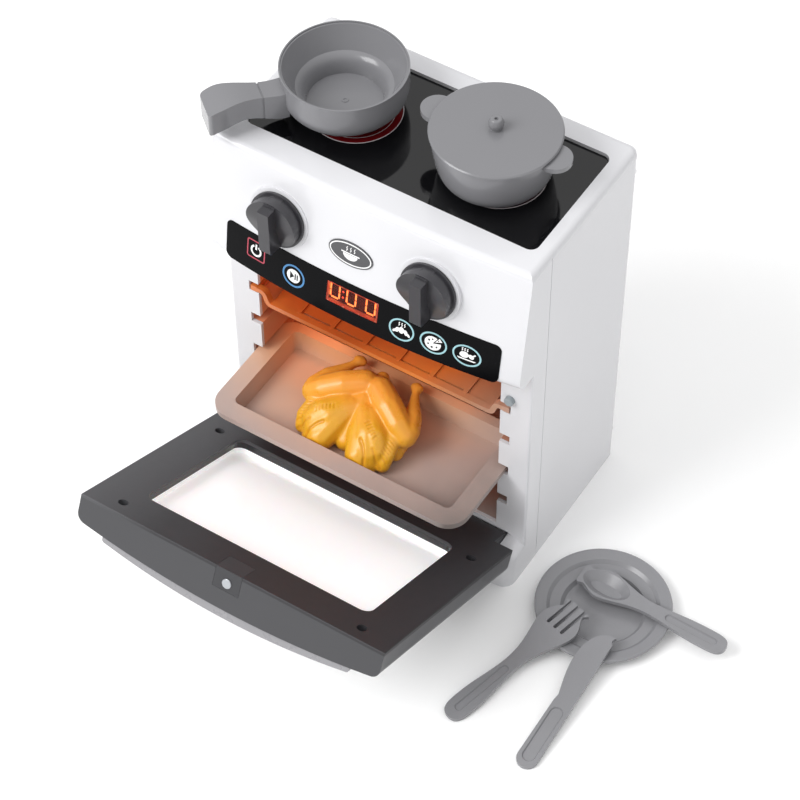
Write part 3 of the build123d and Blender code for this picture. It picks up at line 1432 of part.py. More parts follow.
with BuildPart() as housing_screws:
    for x, z in join_places():
        screw(Plane(origin=(x, SEAM + JOIN_GRIP, z), z_dir=(0, 1, 0)), SCREW_SHANK, 16)

with BuildPart() as base_screws:
    for x, y in base_screw_places():
        screw(Plane(origin=(x, y, BASE_HEAD), z_dir=(0, 0, -1)), GRIP_SHANK, BOSS_TALL)

with BuildPart() as board_screws:
    for side in (-1, 1):
        x = side * (BOARD_HALF - POST_FROM_END)
        rear = BOARD_FRONT + BOARD_THICK
        screw(Plane(origin=(x, rear, POST_Z), z_dir=(0, 1, 0)), GRIP_SHANK, BOARD_THICK + POST_HOLE - 1)

for built, name in (
    (battery_box, "battery_box"),
    (batteries, "batteries"),
    (battery_contacts, "battery_contacts"),
    (battery_cover, "battery_cover"),
    (battery_cover_screw, "battery_cover_screw"),
    (housing_screws, "housing_screws"),
    (base_screws, "base_screws"),
    (board_screws, "board_screws"),
):
    finish(built, name)

# =====================================================================
# Rack: runners in the grooves, dropped ends and a slotted grill
# =====================================================================
RACK_FRONT = FRONT
RACK_BACK = RACK_FRONT + RACK_LENGTH
RUNNER_LOW = groove_z(RACK_GROOVE) - GROOVE_TALL / 2 + SEAT_GAP
RUNNER_HIGH = RUNNER_LOW + RACK_RAIL
RUNNER_OUT = CAVITY_HALF + GROOVE_DEEP - RACK_INSET
RUNNER_IN = RUNNER_OUT - RACK_RAIL
RACK_Z = RUNNER_LOW + RACK_RAIL / 2 - RACK_DROP

with BuildPart() as oven_rack:
    for side in (-1, 1):
        block(
            (min(side * RUNNER_IN, side * RUNNER_OUT), max(side * RUNNER_IN, side * RUNNER_OUT)),
            (RACK_FRONT, RACK_BACK),
            (RUNNER_LOW, RUNNER_HIGH),
        )
    for y in (RACK_FRONT + RACK_RAIL, RACK_BACK):
        with BuildSketch(Plane.XZ.offset(-y)):
            with BuildLine():
                high = RUNNER_LOW + RACK_RAIL / 2
                bend_top = RUNNER_IN - 2
                bend_low = bend_top - BEND
                Line((-bend_low, RACK_Z), (bend_low, RACK_Z))
                for side in (-1, 1):
                    Spline(
                        (side * bend_low, RACK_Z),
                        (side * bend_top, high),
                        tangents=((side, 0), (side, 0)),
                    )
                    Line((side * bend_top, high), (side * (RUNNER_IN + 1), high))
            trace(line_width=RACK_RAIL * 0.8)
        extrude(amount=RACK_RAIL)
    # the grill between them: a slotted plate under raised ribs
    plate_front = RACK_FRONT + RACK_RAIL - 1
    block(
        (-RACK_PLATE_HALF, RACK_PLATE_HALF),
        (plate_front, RACK_BACK - RACK_RAIL + 1),
        (RACK_Z - RACK_PLATE / 2, RACK_Z + RACK_PLATE / 2),
    )
    with BuildSketch(Plane.XY.offset(RACK_Z - RACK_PLATE / 2)):
        for row in range(SLOT_ROWS):
            with Locations((0, RACK_FRONT + RACK_RAIL + SLOT_WIDE / 2 + row * SLOT_PITCH)):
                with GridLocations(BAR_PITCH, 0, RACK_BARS - 1, 1):
                    Rectangle(SLOT_LONG, SLOT_WIDE)
    extrude(amount=RACK_PLATE, mode=Mode.SUBTRACT)
    with Locations((0, (RACK_FRONT + RACK_BACK) / 2, RACK_Z + RACK_BAR_PROUD / 2)):
        with GridLocations(BAR_PITCH, 0, RACK_BARS, 1):
            Box(RACK_BAR_WIDE, RACK_LENGTH - 2 * RACK_RAIL + 2, RACK_PLATE + RACK_BAR_PROUD)

finish(oven_rack, "oven_rack")

# =====================================================================
# Tray, drawn half out, and the chicken that lies in it
# =====================================================================
TRAY_LOW = groove_z(TRAY_GROOVE) - GROOVE_TALL / 2 + SEAT_GAP
TRAY_TOP = TRAY_LOW + TRAY_FLANGE
TRAY_FRONT = FRONT + 0.5 - TRAY_OUT
TRAY_BACK = TRAY_FRONT + TRAY_LENGTH
TRAY_MID = (TRAY_FRONT + TRAY_BACK) / 2
BASIN_HALF = TRAY_HALF - TRAY_RIM
BASIN_LONG = TRAY_LENGTH - TRAY_RIM - TRAY_BACK_RIM
BASIN_MID = TRAY_FRONT + TRAY_RIM + BASIN_LONG / 2
FLOOR_Z = TRAY_TOP - TRAY_FLOOR

def basin_face(z, wall, up):
    """The basin's outline at one level, a wall wider, at a height above its floor."""
    lean = TRAY_SLOPE * (up / TRAY_FLOOR - 1)
    with BuildSketch(Plane.XY.offset(z)) as face:
        with Locations((0, BASIN_MID)):
            RectangleRounded(
                2 * (BASIN_HALF + wall + lean),
                BASIN_LONG + 2 * (wall + lean),
                TRAY_BASIN_CORNER + wall,
            )
    return face.sketch


with BuildPart() as baking_tray:
    with BuildSketch(Plane.XY.offset(TRAY_LOW)):
        with Locations((0, TRAY_MID)):
            RectangleRounded(2 * TRAY_HALF, TRAY_LENGTH, TRAY_CORNER)
    extrude(amount=TRAY_FLANGE)
    # the basin's outside, then its inside, both narrower at the floor
    loft(
        sections=[
            basin_face(TRAY_TOP - 1, TRAY_WALL, TRAY_FLOOR - 1),
            basin_face(FLOOR_Z - TRAY_WALL, TRAY_WALL, -TRAY_WALL),
        ],
        ruled=True,
    )
    loft(
        sections=[basin_face(TRAY_TOP + 1, 0, TRAY_FLOOR + 1), basin_face(FLOOR_Z, 0, 0)],
        ruled=True,
        mode=Mode.SUBTRACT,
    )

finish(baking_tray, "baking_tray")

CHICKEN_BACK = TRAY_FRONT + TRAY_RIM + CHICKEN_LONG + 1.5

with BuildPart() as roast_chicken:
    seat = FLOOR_Z + REST_GAP
    lobe_y = CHICKEN_BACK - CHICKEN_LONG + LOBE
    knee_y = lobe_y + LOBE
    knee_x = CHICKEN_WIDE / 2 - THIGH
    for side in (-1, 1):
        with Locations((CHICKEN_X + side * (LOBE - 1), lobe_y, seat + LOBE - 3)):
            Sphere(LOBE)
        with Locations((CHICKEN_X + side * knee_x, knee_y, seat + THIGH - 1)):
            Sphere(THIGH)
    with Locations((CHICKEN_X, knee_y, seat + CHICKEN_TALL - LOBE)):
        Sphere(LOBE)
    with Locations((CHICKEN_X, knee_y + THIGH - 3, seat + THIGH - 1)):
        Sphere(THIGH)
    with Locations((CHICKEN_X, knee_y - 6, seat + 9)):
        Box(2 * knee_x, 18, 18)
    block(
        (CHICKEN_X - CHICKEN_WIDE, CHICKEN_X + CHICKEN_WIDE),
        (TRAY_FRONT, TRAY_BACK + THIGH),
        (seat - LOBE, seat),
        Mode.SUBTRACT,
    )
    for side in (-1, 1):
        with BuildSketch(Plane.XY.offset(FLOOR_Z + REST_GAP + SHANK_Z)):
            ankle = (CHICKEN_X + side * ANKLE_X, CHICKEN_BACK - SHANK)
            knee = (CHICKEN_X + side * (knee_x + 3), knee_y)
            with Locations(ankle, knee):
                Circle(SHANK)
            make_hull()
        extrude(amount=2 * SHANK)

finish(roast_chicken, "roast_chicken")

# =====================================================================
# Frying pan
# =====================================================================
with BuildPart() as frying_pan:
    place = Plane(origin=(PAN_X, HOB_MID_Y, COOK_Z), x_dir=(1, 0, 0), z_dir=(0, -1, 0))
    with BuildSketch(place):
        with BuildLine():
            inner = PAN_RADIUS - PAN_WALL
            lip = PAN_TALL - PAN_LIP
            bend = (PAN_BEND, PAN_TALL - PAN_BEND_LOW)
            Line((0, 0), (PAN_BASE, 0))
            Spline(
                (PAN_BASE, 0),
                (PAN_SKIRT, PAN_SKIRT_Z),
                (PAN_RADIUS, PAN_TALL),
                tangents=((1, 0.5), (0.04, 1)),
            )
            Polyline(
                (PAN_RADIUS, PAN_TALL),
                (PAN_RADIUS - PAN_LIP, PAN_TALL),
                (PAN_RADIUS - PAN_LIP, lip),
                (inner, lip),
                bend,
            )
            Spline(bend, (PAN_WELL, PAN_FLOOR), tangents=((-1, -0.35), (-0.05, -1)))
            Polyline((PAN_WELL, PAN_FLOOR), (0, PAN_FLOOR), (0, 0))
        make_face()
    revolve(axis=Axis((PAN_X, HOB_MID_Y, 0), (0, 0, 1)))
    # the handle's plan, met with its side view
    turn = radians(PAN_HANDLE_TURN)
    reach_plane = Plane(
        origin=(PAN_X, HOB_MID_Y, COOK_Z),
        x_dir=(cos(turn), sin(turn), 0),
        z_dir=(0, 0, 1),
    )
    side_plane = Plane(
        origin=(PAN_X, HOB_MID_Y, COOK_Z),
        x_dir=(cos(turn), sin(turn), 0),
        z_dir=(sin(turn), -cos(turn), 0),
    )
    with BuildSketch(reach_plane) as plan:
        with BuildLine():
            Spline(*HANDLE_PLAN, tangents=((1, 0), (1, 0)))
            Spline(*[(x, -y) for x, y in HANDLE_PLAN], tangents=((1, 0), (1, 0)))
            for end in (HANDLE_PLAN[0], HANDLE_PLAN[-1]):
                Line(end, (end[0], -end[1]))
        make_face()
        fillet(plan.vertices().sort_by(Axis.X)[-2:], PAN_HANDLE_ROUND)
    with BuildSketch(side_plane) as side_view:
        with BuildLine():
            Spline(*HANDLE_UPPER)
            Spline(*HANDLE_LOWER)
            for above, below in zip(HANDLE_UPPER[::4], HANDLE_LOWER[::4]):
                Line(above, below)
        make_face()
    with BuildPart(mode=Mode.PRIVATE) as grip:
        extrude(plan.sketch, amount=PAN_TALL)
        extrude(side_view.sketch, amount=PAN_BASE, both=True, mode=Mode.INTERSECT)
        # a groove around the handle, near the pan
        with BuildSketch(side_plane) as groove:
            with Locations((GROOVE_AT, PAN_TALL / 2)):
                Rectangle(GROOVE_LONG, PAN_TALL)
        for side in (-1, 1):
            flank = side * (HANDLE_PLAN[1][1] - GROOVE_CUT)
            extrude(
                groove.sketch.moved(Location(side_plane.z_dir * flank)),
                amount=side * PAN_BASE,
                mode=Mode.SUBTRACT,
            )
        with BuildSketch(side_plane) as groove_top:
            with Locations((GROOVE_AT, HANDLE_UPPER[1][1] - GROOVE_CUT + PAN_TALL / 2)):
                Rectangle(GROOVE_LONG, PAN_TALL)
        extrude(groove_top.sketch, amount=PAN_BASE, both=True, mode=Mode.SUBTRACT)
    add(grip.part)
    # the ring that the moulding gate leaves on the floor
    with BuildSketch(Plane.XY.offset(COOK_Z + PAN_FLOOR)) as gate:
        with Locations((PAN_X, HOB_MID_Y)):
            Circle(GATE_RADIUS)
            Circle(GATE_RADIUS / 2, mode=Mode.SUBTRACT)
    extrude(gate.sketch, amount=GATE_TALL)

finish(frying_pan, "frying_pan")

# =====================================================================
# Cooking pot with its ears, lid and lid knob
# =====================================================================
with BuildPart() as cooking_pot:
    place = Plane(origin=(POT_X, HOB_MID_Y, COOK_Z), x_dir=(1, 0, 0), z_dir=(0, -1, 0))
    inner = POT_RADIUS - POT_WALL
    with BuildSketch(place):
        with BuildLine():
            Line((0, 0), (POT_BASE, 0))
            Spline(
                (POT_BASE, 0),
                (POT_RADIUS - 2.2, POT_TALL * 0.4),
                (POT_RADIUS, POT_TALL),
                tangents=((1, 0.5), (0, 1)),
            )
            Line((POT_RADIUS, POT_TALL), (inner, POT_TALL))
            Spline(
                (inner, POT_TALL),
                (inner - 2.2, POT_TALL * 0.45),
                (POT_BASE - POT_WALL, POT_WALL),
                tangents=((0, -1), (-1, -0.5)),
            )
            Line((POT_BASE - POT_WALL, POT_WALL), (0, POT_WALL))
            Line((0, POT_WALL), (0, 0))
        make_face()
    revolve(axis=Axis((POT_X, HOB_MID_Y, 0), (0, 0, 1)))
    swung = radians(EAR_TURN)
    with BuildSketch(Plane.XY.offset(COOK_Z + POT_TALL - EAR_DROP - EAR_THICK)):
        for side in (-1, 1):
            out = side * (EAR_REACH - EAR_RADIUS)
            with Locations((POT_X + out * cos(swung), HOB_MID_Y + out * sin(swung))):
                Circle(EAR_RADIUS)
        with Locations((POT_X, HOB_MID_Y)):
            Circle(POT_RADIUS - POT_WALL / 2)
            Circle(POT_RADIUS - POT_WALL, mode=Mode.SUBTRACT)
    extrude(amount=EAR_THICK)

LID_Z = COOK_Z + POT_TALL + REST_GAP / 2

with BuildPart() as pot_lid:
    place = Plane(origin=(POT_X, HOB_MID_Y, LID_Z), x_dir=(1, 0, 0), z_dir=(0, -1, 0))
    with BuildSketch(place):
        with BuildLine():
            ring = inner - SEAT_GAP
            Polyline(
                (0, LID_CONE),
                (ring - LID_EDGE, 0),
                (ring - LID_EDGE, -LID_RIM),
                (ring, -LID_RIM),
                (ring, 0),
                (LID_RADIUS - 0.6, 0),
                (LID_RADIUS, 0.6),
                (LID_RADIUS, LID_EDGE - 0.6),
                (LID_RADIUS - 0.6, LID_EDGE),
                (LID_KNOB_RADIUS, LID_EDGE + LID_CONE),
                (0, LID_EDGE + LID_CONE),
                (0, LID_CONE),
            )
        make_face()
    revolve(axis=Axis((POT_X, HOB_MID_Y, 0), (0, 0, 1)))

with BuildPart() as pot_lid_knob:
    with BuildSketch(Plane.XY.offset(LID_Z + LID_EDGE + LID_CONE)):
        with Locations((POT_X, HOB_MID_Y)):
            Circle(LID_KNOB_RADIUS)
    extrude(amount=LID_KNOB_TALL, taper=2)
    fillet(pot_lid_knob.edges().sort_by(Axis.Z)[-1], 0.5)
    with BuildSketch(Plane.XY.offset(LID_Z + LID_EDGE + LID_CONE + LID_KNOB_TALL)):
        with Locations((POT_X, HOB_MID_Y)):
            Circle(LID_KNOB_HOLE)
    extrude(amount=-2 * LID_KNOB_HOLE, mode=Mode.SUBTRACT)

finish(cooking_pot, "cooking_pot")
finish(pot_lid, "pot_lid")
finish(pot_lid_knob, "pot_lid_knob")

# =====================================================================
# Plate and cutlery: each stands on the floor or plate at one end
# =====================================================================
with BuildPart() as dinner_plate:
    place = Plane(origin=(PLATE_X, PLATE_Y, 0), x_dir=(1, 0, 0), z_dir=(0, -1, 0))
    with BuildSketch(place):
        with BuildLine():
            Polyline(
                (0, 0.6),
                (WELL_RADIUS - 2, 0.6),
                (WELL_RADIUS - 2, 0),
                (PLATE_FOOT, 0),
                (WELL_RADIUS + 4, 2.6),
                (PLATE_RADIUS - 8, 3.4),
                (PLATE_RADIUS - 6, 5.2),
                (PLATE_RADIUS, PLATE_TALL - 1.4),
                (PLATE_RADIUS, PLATE_TALL - 0.4),
                (PLATE_RADIUS - 0.4, PLATE_TALL),
                (PLATE_RADIUS - 1.4, PLATE_TALL),
                (PLATE_RADIUS - 7, PLATE_TALL - 1.2),
                (PLATE_RADIUS - 9, 5.0),
                (WELL_RADIUS + 2, 4.4),
                (WELL_RADIUS, PLATE_WALL),
                (0, PLATE_WALL),
                (0, 0.6),
            )
        make_face()
    revolve(axis=Axis((PLATE_X, PLATE_Y, 0), (0, 0, 1)))

finish(dinner_plate, "dinner_plate")


def lying(start, heading, tilt, lift):
    """The underside plane of one piece of cutlery: X along it, Z up out of it."""
    ahead, rise = radians(heading), radians(tilt)
    return Plane(
        origin=(start[0], start[1], lift),
        x_dir=(cos(rise) * cos(ahead), cos(rise) * sin(ahead), sin(rise)),
        z_dir=(-sin(rise) * cos(ahead), -sin(rise) * sin(ahead), cos(rise)),
    )


def mirrored_outline(line, half, stop):
    """A closed face from one edge's points, rounded at the start and stop."""
    with BuildSketch(line) as face:
        with BuildLine():
            Spline((0, 0), *half, (stop, 0), tangents=((0, 1), (0, -1)))
            Spline((0, 0), *[(x, -y) for x, y in half], (stop, 0), tangents=((0, -1), (0, 1)))
        make_face()
    return face.sketch


def dimple(line, start, stop, wide):
    """A long shallow hollow in a handle's upper face."""
    with BuildSketch(line.offset(CUTLERY_THICK)) as hollow:
        with Locations(((start + stop) / 2, 0)):
            SlotOverall(stop - start, wide)
    extrude(hollow.sketch, amount=-DIMPLE_DEEP, taper=35, mode=Mode.SUBTRACT)


def rim_reach(start, heading):
    """How far along its length a piece that starts outside meets the plate's rim."""
    ahead = radians(heading)
    dx, dy = PLATE_X - start[0], PLATE_Y - start[1]
    along = dx * cos(ahead) + dy * sin(ahead)
    aside = dx * sin(ahead) - dy * cos(ahead)
    return along - sqrt(PLATE_RADIUS**2 - aside**2)


def floor_tilt(start, heading):
    """The slope that lifts a piece from the floor over the plate's near rim."""
    return degrees(atan2(RIM_CLEAR, rim_reach(start, heading)))


fork_line = lying(FORK_START, FORK_HEADING, floor_tilt(FORK_START, FORK_HEADING), 0)

with BuildPart() as fork:
    extrude(mirrored_outline(fork_line, FORK_EDGE, FORK_LONG), amount=CUTLERY_THICK)
    with BuildSketch(fork_line):
        with Locations((FORK_LONG + 1, 0)):
            with GridLocations(0, TINE_PITCH, 1, TINES - 1):
                SlotOverall(2 * TINE_LONG, TINE_GAP)
    extrude(amount=CUTLERY_THICK, mode=Mode.SUBTRACT)
    dimple(fork_line, 6, 46, 5)

knife_line = lying(KNIFE_START, KNIFE_HEADING, floor_tilt(KNIFE_START, KNIFE_HEADING), 0)

with BuildPart() as knife:
    with BuildSketch(knife_line):
        with BuildLine():
            tip = (KNIFE_LONG, 0.5 - KNIFE_HALF)
            ThreePointArc((KNIFE_HALF, KNIFE_HALF), (0, 0), (KNIFE_HALF, -KNIFE_HALF))
            Line((KNIFE_HALF, KNIFE_HALF), (BLADE_FROM - 4, KNIFE_HALF - 0.6))
            Line((BLADE_FROM - 4, KNIFE_HALF - 0.6), (BLADE_FROM, KNIFE_HALF - 1.2))
            Spline(
                (BLADE_FROM, KNIFE_HALF - 1.2),
                (BLADE_FROM + 22, BLADE_EDGE),
                (KNIFE_LONG - 9, BLADE_EDGE - 2),
                tip,
                tangents=((1, 0.25), (-0.1, -1)),
            )
            Line((KNIFE_HALF, -KNIFE_HALF), (KNIFE_LONG - 5, -KNIFE_HALF + 0.4))
            ThreePointArc(
                (KNIFE_LONG - 5, -KNIFE_HALF + 0.4),
                (KNIFE_LONG - 1.6, 1.6 - KNIFE_HALF),
                tip,
            )
        make_face()
    extrude(amount=CUTLERY_THICK)
    dimple(knife_line, 4, 42, 8)

over_rim = rim_reach(SPOON_START, SPOON_HEADING) * sin(radians(-SPOON_TILT))
spoon_line = lying(SPOON_START, SPOON_HEADING, SPOON_TILT, RIM_CLEAR + over_rim)


def bowl_face(up, shrink):
    """One level of the spoon's bowl, smaller by a margin all round."""
    with BuildSketch(spoon_line.offset(up)) as level:
        with Locations((SPOON_LONG - BOWL_LONG / 2 - 0.6, 0)):
            Ellipse(BOWL_LONG / 2 - shrink, BOWL_WIDE / 2 - shrink)
    return level.sketch


with BuildPart() as spoon:
    extrude(mirrored_outline(spoon_line, SPOON_EDGE, SPOON_LONG), amount=CUTLERY_THICK)
    outer = [bowl_face(0, 0), bowl_face(-BOWL_DEEP, BOWL_SLOPE)]
    loft(sections=outer)
    hollow = [bowl_face(CUTLERY_THICK, 1.3), bowl_face(1.4 - BOWL_DEEP, BOWL_SLOPE + 0.8)]
    loft(sections=hollow, mode=Mode.SUBTRACT)
    dimple(spoon_line, 6, 40, 5)

finish(fork, "fork")
finish(knife, "knife")
finish(spoon, "spoon")
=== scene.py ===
import bmesh
import bpy
import math
from mathutils import Matrix, Vector
from mathutils.bvhtree import BVHTree


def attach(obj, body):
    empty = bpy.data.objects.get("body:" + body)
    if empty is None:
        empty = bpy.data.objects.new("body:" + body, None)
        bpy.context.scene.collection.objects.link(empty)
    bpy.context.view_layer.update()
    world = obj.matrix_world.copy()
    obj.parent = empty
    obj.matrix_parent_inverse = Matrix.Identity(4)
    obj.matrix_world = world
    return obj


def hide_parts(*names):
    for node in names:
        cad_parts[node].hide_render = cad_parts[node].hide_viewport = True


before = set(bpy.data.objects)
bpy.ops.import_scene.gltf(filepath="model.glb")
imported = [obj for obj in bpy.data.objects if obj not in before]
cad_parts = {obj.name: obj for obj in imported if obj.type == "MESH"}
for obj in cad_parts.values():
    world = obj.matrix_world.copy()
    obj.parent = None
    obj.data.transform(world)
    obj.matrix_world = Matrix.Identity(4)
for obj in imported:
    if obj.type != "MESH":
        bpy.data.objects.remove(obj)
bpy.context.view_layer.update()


# ---- Casing -------------------------------------------------------------------------------
# Front and rear halves, floor plate and battery cover. Glossy white ABS, injection moulded in
# polished tools: a hard shine, with the faint waviness and sink that thick walls leave.

def linear(shade):
    """The linear RGBA of an sRGB hex colour."""
    parts = [int(shade[at:at + 2], 16) / 255 for at in (0, 2, 4)]
    return [p / 12.92 if p <= 0.04045 else ((p + 0.055) / 1.055) ** 2.4 for p in parts] + [1]


def add(material, kind, settings=None, **inputs):
    """Adds a shader node: settings are its own choices, inputs its values or the outputs wired to it."""
    tree = material.node_tree
    node = tree.nodes.new("ShaderNode" + kind)
    for name, choice in (settings or {}).items():
        setattr(node, name, choice)
    for name, value in inputs.items():
        socket = node.inputs[int(name[1:])] if name[0] == "_" else node.inputs[name.replace("_", " ")]
        if isinstance(value, bpy.types.NodeSocket):
            tree.links.new(value, socket)
        else:
            socket.default_value = value
    return node


def new_material(name):
    """An empty node material and its surface shader."""
    material = bpy.data.materials.new(name)
    material.use_nodes = True
    return material, material.node_tree.nodes["Principled BSDF"]


def wire(material, output, socket):
    material.node_tree.links.new(output, socket)


def moulded(name, shade, rough, drift=0.03, grain=0.8, relief=0.004, gloss=1.5):
    """A moulded plastic. drift is how far its tone wanders, grain the skin's grain and relief its
    depth in millimetres, gloss its index of refraction."""
    material, surface = new_material(name)
    place = add(material, "TexCoord").outputs["Object"]
    flow = add(material, "TexNoise", Vector=place, Scale=1000 / 45, Detail=2).outputs["Fac"]
    colour = linear(shade)
    darker = [c * (1 - drift) for c in colour[:3]] + [1]
    lighter = [min(1, c * (1 + drift)) for c in colour[:3]] + [1]
    tone = add(material, "Mix", {"data_type": "RGBA"}, Factor=flow, _6=darker, _7=lighter)
    wire(material, tone.outputs[2], surface.inputs["Base Color"])
    rub = add(material, "TexNoise", Vector=place, Scale=1000 / 6, Detail=4, Roughness=0.6).outputs["Fac"]
    wear = add(material, "MapRange", Value=rub, _3=max(0.03, rough - 0.05), _4=rough + 0.05)
    wire(material, wear.outputs["Result"], surface.inputs["Roughness"])
    skin = add(material, "TexNoise", Vector=place, Scale=1000 / grain, Detail=3).outputs["Fac"]
    bump = add(material, "Bump", Height=skin, Distance=relief / 1000, Strength=1)
    wire(material, bump.outputs["Normal"], surface.inputs["Normal"])
    surface.inputs["IOR"].default_value = gloss
    return material


def dress(material, *names):
    for name in names:
        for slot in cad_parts[name].material_slots:
            slot.material = material


def skin_of(node):
    """The surface of a CAD node, for rays to find."""
    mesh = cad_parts[node].data
    return BVHTree.FromPolygons([v.co for v in mesh.vertices], [p.vertices[:] for p in mesh.polygons])


def settle(name, shape, material, body, smooth=False):
    """Makes an object of a shape drawn in millimetres, gives it its material and rides it on a body."""
    bmesh.ops.scale(shape, vec=(0.001, 0.001, 0.001), verts=shape.verts[:])
    mesh = bpy.data.meshes.new(name)
    shape.to_mesh(mesh)
    shape.free()
    mesh.materials.append(material)
    mesh.polygons.foreach_set("use_smooth", [smooth] * len(mesh.polygons))
    piece = bpy.data.objects.new(name, mesh)
    bpy.context.scene.collection.objects.link(piece)
    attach(piece, body)
    return piece


# polished white ABS: near-white, with soft waves 6 mm long that only its reflections show
white_abs = moulded("white_abs_polished", "d8d8db", 0.16, drift=0.012, grain=6, relief=0.012)
dress(white_abs, "front_housing", "rear_housing", "base_plate", "battery_cover")


# ---- Oven cavity --------------------------------------------------------------------------
# One moulded liner with shelf grooves, in pale pink-grey PP with a fine spark-eroded grain, and
# a frosted lens over two orange lamps in its roof, which colour everything near them.

LAMP_PLACE = (-0.030, 0.004, 0.178)
# how far, in metres, the edge between two shades wanders
SHADE_WANDER = 0.02


def warmed(name, stops, rough, grain, relief):
    """A moulded plastic with the lamps' glow coloured into it, on top of what the real lamps give:
    stops are pairs of a distance from the lamps in millimetres and the shade there."""
    material = moulded(name, stops[-1][1], rough, grain=grain, relief=relief)
    surface = material.node_tree.nodes["Principled BSDF"]
    place = add(material, "TexCoord").outputs["Object"]
    away = add(material, "VectorMath", {"operation": "DISTANCE"}, _0=place, _1=LAMP_PLACE).outputs["Value"]
    mottle = add(material, "TexNoise", Vector=place, Scale=1000 / 30, Detail=2).outputs["Fac"]
    reach = add(material, "Math", {"operation": "MULTIPLY_ADD"}, _0=mottle, _1=SHADE_WANDER,
                _2=away).outputs[0]
    near, far = stops[0][0], stops[-1][0]
    span = add(material, "MapRange", Value=reach, _1=near / 1000 + SHADE_WANDER / 2,
               _2=far / 1000 + SHADE_WANDER / 2)
    fade = add(material, "ValToRGB", Fac=span.outputs["Result"])
    marks = fade.color_ramp.elements
    marks[0].color, marks[1].color = linear(stops[0][1]), linear(stops[-1][1])
    for distance, shade in stops[1:-1]:
        marks.new((distance - near) / (far - near)).color = linear(shade)
    wire(material, fade.outputs["Color"], surface.inputs["Base Color"])
    return material


liner_pp = warmed("liner_polypropylene", ((70, "e07a3c"), (110, "d9906c"), (150, "a87a66"), (190, "a99a94")),
                  0.45, 0.7, 0.01)
dress(liner_pp, "oven_liner")

lens_pc, surface = new_material("lamp_lens_frosted")
frost = add(lens_pc, "TexNoise", Vector=add(lens_pc, "TexCoord").outputs["Object"], Scale=1000 / 0.9)
wire(lens_pc, add(lens_pc, "MapRange", Value=frost.outputs["Fac"], _3=0.3, _4=0.5).outputs["Result"],
     surface.inputs["Roughness"])
surface.inputs["Base Color"].default_value = linear("ffb070")
surface.inputs["Emission Color"].default_value = linear("ff7a26")
surface.inputs["Emission Strength"].default_value = 2.0
dress(lens_pc, "oven_lamp_lens")

board = moulded("circuit_board_epoxy", "2e5a3a", 0.4, drift=0.08, grain=1.2, relief=0.006)
dress(board, "oven_lamp", "hob_lamp_boards", "control_board")


LAMP_ORANGE = "ff9a5c"
LAMP_SOFTNESS = 0.008


def lamp_cone(name, place, aim, power, angle):
    """A lamp with its light in a soft cone; power is in watts and angle in degrees."""
    lamp = bpy.data.lights.new(name, "SPOT")
    lamp.energy = power
    lamp.spot_size = math.radians(angle)
    lamp.spot_blend = 1.0
    lamp.shadow_soft_size = LAMP_SOFTNESS
    lamp.color = linear(LAMP_ORANGE)[:3]
    cone = bpy.data.objects.new(name, lamp)
    bpy.context.scene.collection.objects.link(cone)
    cone.location = place
    cone.rotation_mode = "QUATERNION"
    cone.rotation_quaternion = (Vector(aim) - Vector(place)).to_track_quat("-Z", "Y")


# the two lamps behind the lens
lamp_cone("lamp_glow_left", (-0.042, 0.004, 0.176), (-0.062, -0.005, 0.03), 0.16, 110)
lamp_cone("lamp_glow_right", (-0.012, 0.004, 0.176), (0.03, -0.002, 0.06), 0.06, 105)
# two more below the rack stand in for what comes down through its slots and round its ends
lamp_cone("lamp_glow_low_left", (-0.055, -0.006, 0.124), (-0.060, -0.02, 0.07), 0.05, 90)
lamp_cone("lamp_glow_low_right", (0.030, -0.004, 0.124), (0.034, -0.02, 0.07), 0.015, 90)


# ---- Hob ----------------------------------------------------------------------------------
# A black plate with two red burner rings let into it, in polished ABS and clear-red acrylic.

hob_abs = moulded("hob_black_polished", "0a0a0c", 0.06, drift=0.1, grain=9, relief=0.006)
dress(hob_abs, "hob_plate")

# painted light: the left ring is a brighter red than the right one for the lamp glowing beneath it, which
# gives no light of its own here
ring_painted_glow = moulded("burner_acrylic_lit", "60090e", 0.1, drift=0.1, grain=5, relief=0.006)
dress(ring_painted_glow, "burner_ring_left")
ring_dark = moulded("burner_acrylic_unlit", "2a0508", 0.1, drift=0.1, grain=5, relief=0.006)
dress(ring_dark, "burner_ring_right")
lamp_red = moulded("hob_lamp_epoxy", "c41a1a", 0.15)
dress(lamp_red, "hob_lamps")


def screen_ink(name, shade):
    """Screen ink on PET: nearly matt, with the mesh's slight mottle."""
    return moulded(name, shade, 0.5, drift=0.05, grain=0.5, relief=0.002, gloss=1.35)


def oval(sheet, x, z, wide, tall, sides=40, turn=0.0):
    """A flat ellipse drawn in x and z; gives its face."""
    place = (Matrix.Translation((x, 0, z)) @ Matrix.Rotation(math.radians(turn), 4, "Y")
             @ Matrix.Diagonal((wide / 2, 1, tall / 2, 1)) @ Matrix.Rotation(math.pi / 2, 4, "X"))
    made = bmesh.ops.create_circle(sheet, cap_ends=True, segments=sides, radius=1, matrix=place)
    return made["verts"][0].link_faces[0]


def border(sheet, face, stroke):
    """Leaves only a border, stroke wide, of a flat face."""
    bmesh.ops.inset_region(sheet, faces=[face], thickness=stroke, use_boundary=True, use_even_offset=True)
    bmesh.ops.delete(sheet, geom=[face], context="FACES")
